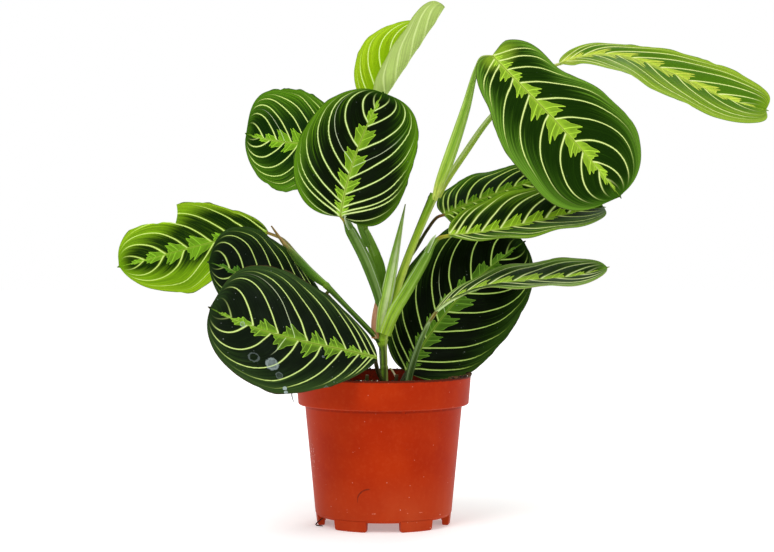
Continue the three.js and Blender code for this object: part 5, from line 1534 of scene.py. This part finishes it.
def make_pot():
    ledge = POT_HEIGHT - RIM_BAND
    corners = (
        ((0, FOOT_HEIGHT), 0),
        ((BODY_RADIUS_BOTTOM - BODY_CHAMFER, FOOT_HEIGHT), 0.4),
        ((BODY_RADIUS_BOTTOM, FOOT_HEIGHT + BODY_CHAMFER * 1.6), 0.9),
        ((BODY_RADIUS_TOP, ledge + 0.02), 0.5),
        ((RIM_RADIUS_BELOW, ledge), 1.3),
        ((RIM_RADIUS, POT_HEIGHT), 0.55),
        ((RIM_RADIUS - WALL, POT_HEIGHT), 0.5),
        ((RIM_RADIUS_BELOW - WALL, ledge + WALL), 0.8),
        ((BODY_RADIUS_TOP - WALL, ledge + WALL), 0.8),
        ((BODY_RADIUS_BOTTOM - WALL, FOOT_HEIGHT + FLOOR), 1.0),
        ((0, FOOT_HEIGHT + FLOOR), 0),
    )
    outline = rounded([corner for corner, _ in corners], [radius for _, radius in corners])
    pot = plain_object("pot_body", *turned(subdivided(outline), POT_SIDES))
    for foot in range(FOOT_COUNT):
        points, faces = foot_body(FIRST_FOOT_AT + foot * 360 / FOOT_COUNT)
        combined(pot, plain_object("pot_foot", points, faces), "UNION")
    low, high = FOOT_HEIGHT - 2, FOOT_HEIGHT + FLOOR + 2
    points, faces = turned([(0, low), (DRAIN_RADIUS, low), (DRAIN_RADIUS, high), (0, high)], DRAIN_SIDES)
    for drain in range(DRAIN_COUNT):
        turn = drain / DRAIN_COUNT * 2 * math.pi
        place = np.array([math.cos(turn), math.sin(turn), 0]) * DRAIN_CIRCLE
        combined(pot, plain_object("pot_drain", points + place, faces), "DIFFERENCE")
    mesh = pot.data
    points = np.empty(len(mesh.vertices) * 3)
    mesh.vertices.foreach_get("co", points)
    faces = [list(face.vertices) for face in mesh.polygons]
    bpy.data.objects.remove(pot)
    new_piece("pot_shell", points.reshape(-1, 3), faces, [pot_material()], ["pot"], "pot_plastic", sharp=38)


def pot_material():
    """Terracotta-coloured plastic with a soft sheen, dust, dried specks and a few scratches, and painted
    shade inside the rim and under it, and a painted highlight along its ledge.
    """
    graph = Graph("pot_plastic")
    spot, x, y, z = graph.place()
    cloud = graph.noise(spot, scale=0.035, detail=3.0)
    mottle = graph.noise(spot, scale=0.35, detail=4.0, roughness=0.65)
    grain = graph.noise(spot, scale=3.5, detail=2.0)
    low = z.step(45.0, 5.0)
    # Paler towards the bottom, in soft patches
    low_paling = graph.noise(graph.vector(x, y, z * 0.35), scale=0.06, detail=3.0)
    colour = graph.layers(
        graph.mix(cloud.step(0.3, 0.7), POT_DEEP, POT_MIDDLE),
        (mottle.step(0.45, 0.75) * 0.16, POT_PALE),
        ((low_paling.step(0.4, 0.75) * 0.3 + 0.28) * low, POT_PALE))

    # Inside the rim, above the soil, the plastic is darkened in patches: painted shade inside the pot
    taper = (RIM_RADIUS - RIM_RADIUS_BELOW) / RIM_BAND
    radius = (x * x + y * y).math("SQRT") - z * taper + POT_HEIGHT * taper
    inside = radius.step(RIM_RADIUS - 0.5, RIM_RADIUS - 1.1) * z.step(SOIL_TOP - 8.0, SOIL_TOP - 4.0)
    colour = graph.mix((mottle.step(0.3, 0.6) * 0.35 + 0.5) * inside, colour, INNER_WALL_SHADE)

    # Dried specks of soil and lime, more of them low down
    speck = graph.cells(spot, scale=0.16).step(0.085, 0.03) * (low * 0.75 + 0.25)
    dirt = graph.cells(graph.vector(x + 31.0, y, z), scale=0.11).step(0.05, 0.02)

    # Scuffs along one height near the bottom, where such pots rub in their tray
    line = (z - SCUFF_HEIGHT).abs().step(0.45, 0.15)
    broken = graph.noise(graph.vector(x * 0.22, y * 0.22, 3.0), detail=2.0).step(0.56, 0.63)
    fine = graph.noise(graph.vector(x * 2.0, y * 2.0, z * 2.0), detail=1.0).step(0.45, 0.6)

    # A curved brown scratch low on the front, and pale rubbed marks on the left
    across, up = x - SCRATCH_CENTRE[0], z - SCRATCH_CENTRE[1]
    away = (across * across + up * up).math("SQRT")
    on_arc = (away - SCRATCH_RADIUS).abs().step(0.7, 0.25)
    front = y.math("LESS_THAN", 0.0)
    stretch = across.step(-SCRATCH_RADIUS - 0.2, -SCRATCH_RADIUS + 0.5)
    stretch = stretch * across.step(0.6, -0.6) * up.step(-1.6, 0.0)
    scratch = on_arc * front * stretch * fine.ramp((0, 0.5), (1, 1))
    rubbed = graph.noise(graph.vector(y * 0.8, z * 0.28, 9.0), detail=3.0, roughness=0.7).step(0.6, 0.66)
    uneven = (cloud - 0.5) * 40.0
    left = x.step(-45.0, -48.0) * front * (z + uneven).step(34.0, 42.0) * (z + uneven).step(64.0, 52.0)
    left = left * (y + uneven * 0.3).step(-4.0, -9.0) * (y + uneven * 0.3).step(-24.0, -16.0)

    # The ledge's edge is paler: a painted highlight along it, and wear. Painted shade darkens the groove
    # under it, and a film of soil darkens the rim's top
    ledge = (z - (POT_HEIGHT - RIM_BAND)).abs().step(0.9, 0.2)
    groove = (z - (POT_HEIGHT - RIM_BAND - 1.3)).abs().step(1.0, 0.3) * mottle.step(0.25, 0.55)
    ragged = graph.noise(graph.vector(x * 0.5, y * 0.5, 5.0), detail=4.0, roughness=0.7)
    soiled = (z + (ragged - 0.5) * 1.6).step(POT_HEIGHT - 1.6, POT_HEIGHT - 1.0)
    colour = graph.layers(
        colour,
        (speck * 0.75, PALE_SPECK),
        (dirt * 0.8, BROWN_DIRT),
        (line * broken * fine * 0.6, SCUFF),
        (scratch, BROWN_DIRT),
        (rubbed * left * 0.9, RUBBED),
        (ledge * 0.12 * mottle.step(0.3, 0.6), LEDGE_HIGHLIGHT_AND_WEAR),
        (groove * 0.5, SHADE_UNDER_RIM),
        (soiled * 0.85, RIM_FILM))
    height = grain * 0.25 + mottle * 0.3 - scratch * 0.8 + speck * 1.0
    rough = mottle * 0.14 + grain * 0.06 + 0.36 + speck * 0.3
    return graph.shade(colour, height, rough, bump_mm=0.12, Specular_IOR_Level=0.05)


def soil_height(x, y):
    """The soil's surface: the solid's low lumps, with finer ones on them."""
    calm = 1 - np.minimum(np.hypot(x, y) / SOIL_EDGE, 1) ** 4
    lumps = np.sin(x * 0.21 + 1) * np.cos(y * 0.17) + 0.6 * np.sin(x * 0.11 - y * 0.24 + 2)
    fine = np.array([noise.fractal(Vector((a * 0.35, b * 0.35, 4.0)), 0.8, 2.1, 4)
                     for a, b in zip(np.ravel(x), np.ravel(y))]).reshape(np.shape(x))
    return SOIL_TOP + SOIL_LUMP * calm * lumps + 0.8 * fine


def crumb(rng, size, flat):
    """A knobbly lump about the origin, from a sphere of two subdivisions."""
    ball = ICOSPHERE[0] * size * rng.uniform(0.7, 1.2, 3) * (1, 1, flat)
    push = np.array([noise.noise(Vector(p * 1.7 / size) + Vector((0, 0, rng.random() * 40))) for p in ball])
    ball = ball * (1 + 0.45 * push)[:, None]
    spin = rng.uniform(0, 2 * np.pi)
    turn = np.array([[math.cos(spin), -math.sin(spin), 0], [math.sin(spin), math.cos(spin), 0], [0, 0, 1]])
    return ball @ turn.T


def unit_ball(divisions):
    ball = bpy.data.meshes.new("ball")
    tool = bmesh.new()
    bmesh.ops.create_icosphere(tool, subdivisions=divisions, radius=1)
    tool.to_mesh(ball)
    tool.free()
    points = np.array([vertex.co for vertex in ball.vertices])
    faces = np.array([list(face.vertices) for face in ball.polygons])
    bpy.data.meshes.remove(ball)
    return points, faces


ICOSPHERE = unit_ball(2)


def soil_body():
    """Rings of points over the soil's surface and down inside the pot, with a point at each end."""
    radius = np.linspace(0, SOIL_EDGE, SOIL_RINGS + 1)[1:]
    angle = np.linspace(0, 2 * np.pi, SOIL_SIDES, endpoint=False)
    x = radius[:, None] * np.cos(angle)
    y = radius[:, None] * np.sin(angle)
    top = np.stack([x, y, soil_height(x, y)], -1).reshape(-1, 3)
    ledge = POT_HEIGHT - RIM_BAND + WALL + 0.3
    floor = FOOT_HEIGHT + FLOOR + 0.3
    down = ((SOIL_EDGE, ledge), (BODY_RADIUS_TOP - WALL - 0.4, ledge - 0.2),
            (BODY_RADIUS_BOTTOM - WALL - 0.4, floor))
    skirt = [np.stack([r * np.cos(angle), r * np.sin(angle), np.full(SOIL_SIDES, z)], -1) for r, z in down]
    middle = soil_height(np.zeros(1), np.zeros(1))[0]
    points = [np.array([[0, 0, middle]]), top, *skirt, np.array([[0, 0, floor]])]
    faces = []
    rows = SOIL_RINGS + len(down)
    for k in range(SOIL_SIDES):
        after = (k + 1) % SOIL_SIDES
        faces.append([0, 1 + k, 1 + after])
        for row in range(rows - 1):
            a, b = 1 + row * SOIL_SIDES, 1 + (row + 1) * SOIL_SIDES
            faces.append([a + k, b + k, b + after, a + after])
        end = 1 + rows * SOIL_SIDES
        faces.append([end, end - SOIL_SIDES + after, end - SOIL_SIDES + k])
    return points, faces


def crumbs_on_soil(rng):
    """The points and the kind of each crumb on the soil: one in 14 is perlite, and one in 9 bark."""
    for number in range(CRUMB_COUNT):
        distance = SOIL_EDGE * math.sqrt(rng.random()) * 0.98
        turn = rng.uniform(0, 2 * np.pi)
        place = np.array([distance * math.cos(turn), distance * math.sin(turn)])
        size = 0.6 + 1.5 * rng.random() ** 3
        bark = number % 9 == 1
        if bark:
            size *= 1.5
        lump = crumb(rng, size, 0.45 if bark else 0.8)
        lump = lump + (place[0], place[1], soil_height(place[:1], place[1:])[0] + size * 0.15)
        outwards = np.hypot(lump[:, 0], lump[:, 1])
        lump[:, :2] *= np.minimum(1, SOIL_EDGE / np.maximum(outwards, 1e-6))[:, None]
        yield lump, PERLITE if number % 14 == 0 else BARK if bark else DARK


def crumbs_on_rim(rng):
    """The points and the kind of each crumb on the pot's rim."""
    for first, last, number, largest in RIM_CRUMBS:
        for turn in np.radians(rng.uniform(first, last, number)):
            size = rng.uniform(0.35, largest)
            reach = RIM_RADIUS - WALL * rng.uniform(0.2, 1.3)
            place = (reach * math.cos(turn), reach * math.sin(turn), POT_HEIGHT + size * 0.4)
            lump = crumb(rng, size, 0.8) + place
            draw = rng.random()
            yield lump, PERLITE if draw < 0.06 else BARK if draw < 0.5 else DARK


def make_soil():
    rng = np.random.default_rng(SEED)
    points, faces = soil_body()
    kinds = [DARK] * len(faces)
    count = sum(len(part) for part in points)
    for lump, kind in (*crumbs_on_soil(rng), *crumbs_on_rim(rng)):
        points.append(lump)
        faces += (ICOSPHERE[1] + count).tolist()
        kinds += [kind] * len(ICOSPHERE[1])
        count += len(lump)
    materials = [soil_material(name, *colours) for name, colours in SOIL_KINDS.items()]
    new_piece("soil_crumbs", np.concatenate(points), faces, materials, ["soil"], "soil", kinds, sharp=70)


def soil_material(name, dark, light):
    graph = Graph(name)
    spot = graph.place()[0]
    lumps = graph.noise(spot, scale=0.5, detail=5.0, roughness=0.7)
    grit = graph.noise(spot, scale=2.6, detail=3.0, roughness=0.7)
    colour = graph.mix(lumps.step(0.3, 0.75), dark, light)
    colour = graph.mix(grit.step(0.55, 0.7) * 0.5, colour, tinted(light, 1.5, 10))
    return graph.shade(colour, lumps * 0.5 + grit * 0.6, grit * 0.15 + 0.8, bump_mm=0.8,
                       Specular_IOR_Level=0.2)


# Camera, light and floor

def look_at(item, eye, aim):
    """Puts an object at eye and turns its -Z towards aim, both in metres."""
    eye, aim = Vector(eye), Vector(aim)
    item.location = eye
    item.rotation_mode = "QUATERNION"
    item.rotation_quaternion = (aim - eye).to_track_quat("-Z", "Y")


def add_camera():
    camera = in_scene("camera", bpy.data.cameras.new("camera"))
    camera.data.lens = LENS_MM
    camera.data.sensor_width = SENSOR_MM
    camera.data.clip_end = 20
    look_at(camera, in_frame(EYE), in_frame(AIM))
    bpy.context.scene.camera = camera


def add_lights():
    """Square area lights, and an even sky that the camera sees as white."""
    for name, (place, size, power) in LAMPS.items():
        light = bpy.data.lights.new(name, "AREA")
        light.size = size
        light.energy = power
        look_at(in_scene(name, light), place, LAMPS_LOOK_AT)
    world = bpy.data.worlds.new("studio")
    world.use_nodes = True
    tree = world.node_tree
    soft = tree.nodes["Background"]
    soft.inputs["Color"].default_value = (1, 1, 1, 1)
    soft.inputs["Strength"].default_value = SKY_STRENGTH
    backdrop = tree.nodes.new("ShaderNodeBackground")
    backdrop.inputs["Color"].default_value = (1, 1, 1, 1)
    seen = tree.nodes.new("ShaderNodeLightPath")
    both = tree.nodes.new("ShaderNodeMixShader")
    tree.links.new(seen.outputs["Is Camera Ray"], both.inputs[0])
    tree.links.new(soft.outputs[0], both.inputs[1])
    tree.links.new(backdrop.outputs[0], both.inputs[2])
    tree.links.new(both.outputs[0], tree.nodes["World Output"].inputs["Surface"])
    bpy.context.scene.world = world
    bpy.context.scene.view_settings.view_transform = "Standard"


def add_floor():
    mesh = bpy.data.meshes.new("floor")
    signs = ((-1, -1), (1, -1), (1, 1), (-1, 1))
    corners = [(x * FLOOR_HALF, y * FLOOR_HALF, 0) for x, y in signs]
    mesh.from_pydata(corners, [], [(0, 1, 2, 3)])
    floor = in_scene("floor", mesh)
    graph = Graph("floor")
    spot, x, y, _ = graph.place()
    speckle = graph.noise(spot, scale=0.05)
    white = graph.mix(speckle, (244, 244, 244), (240, 240, 241))
    # Less glow near the pot darkens the floor round it: painted shade over its real shadow
    away = (x * x + y * y).math("SQRT").step(SHADE_FROM, SHADE_TO)
    glow = away * (1 - SHADE_GLOW) + SHADE_GLOW
    mesh.materials.append(graph.shade(white, speckle, speckle * 0.1 + 0.75, bump_mm=0.02,
                                      Specular_IOR_Level=0.1, Emission_Color=glow,
                                      Emission_Strength=FLOOR_GLOW))
    floor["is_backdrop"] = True


add_camera()
add_lights()
add_floor()
make_leaves()
make_stalks()
make_pot()
make_soil()

boxes = {"cad": CAD_BOUNDS, "visual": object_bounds()}
{key: [list(corner) for corner in box] for key, box in boxes.items()}
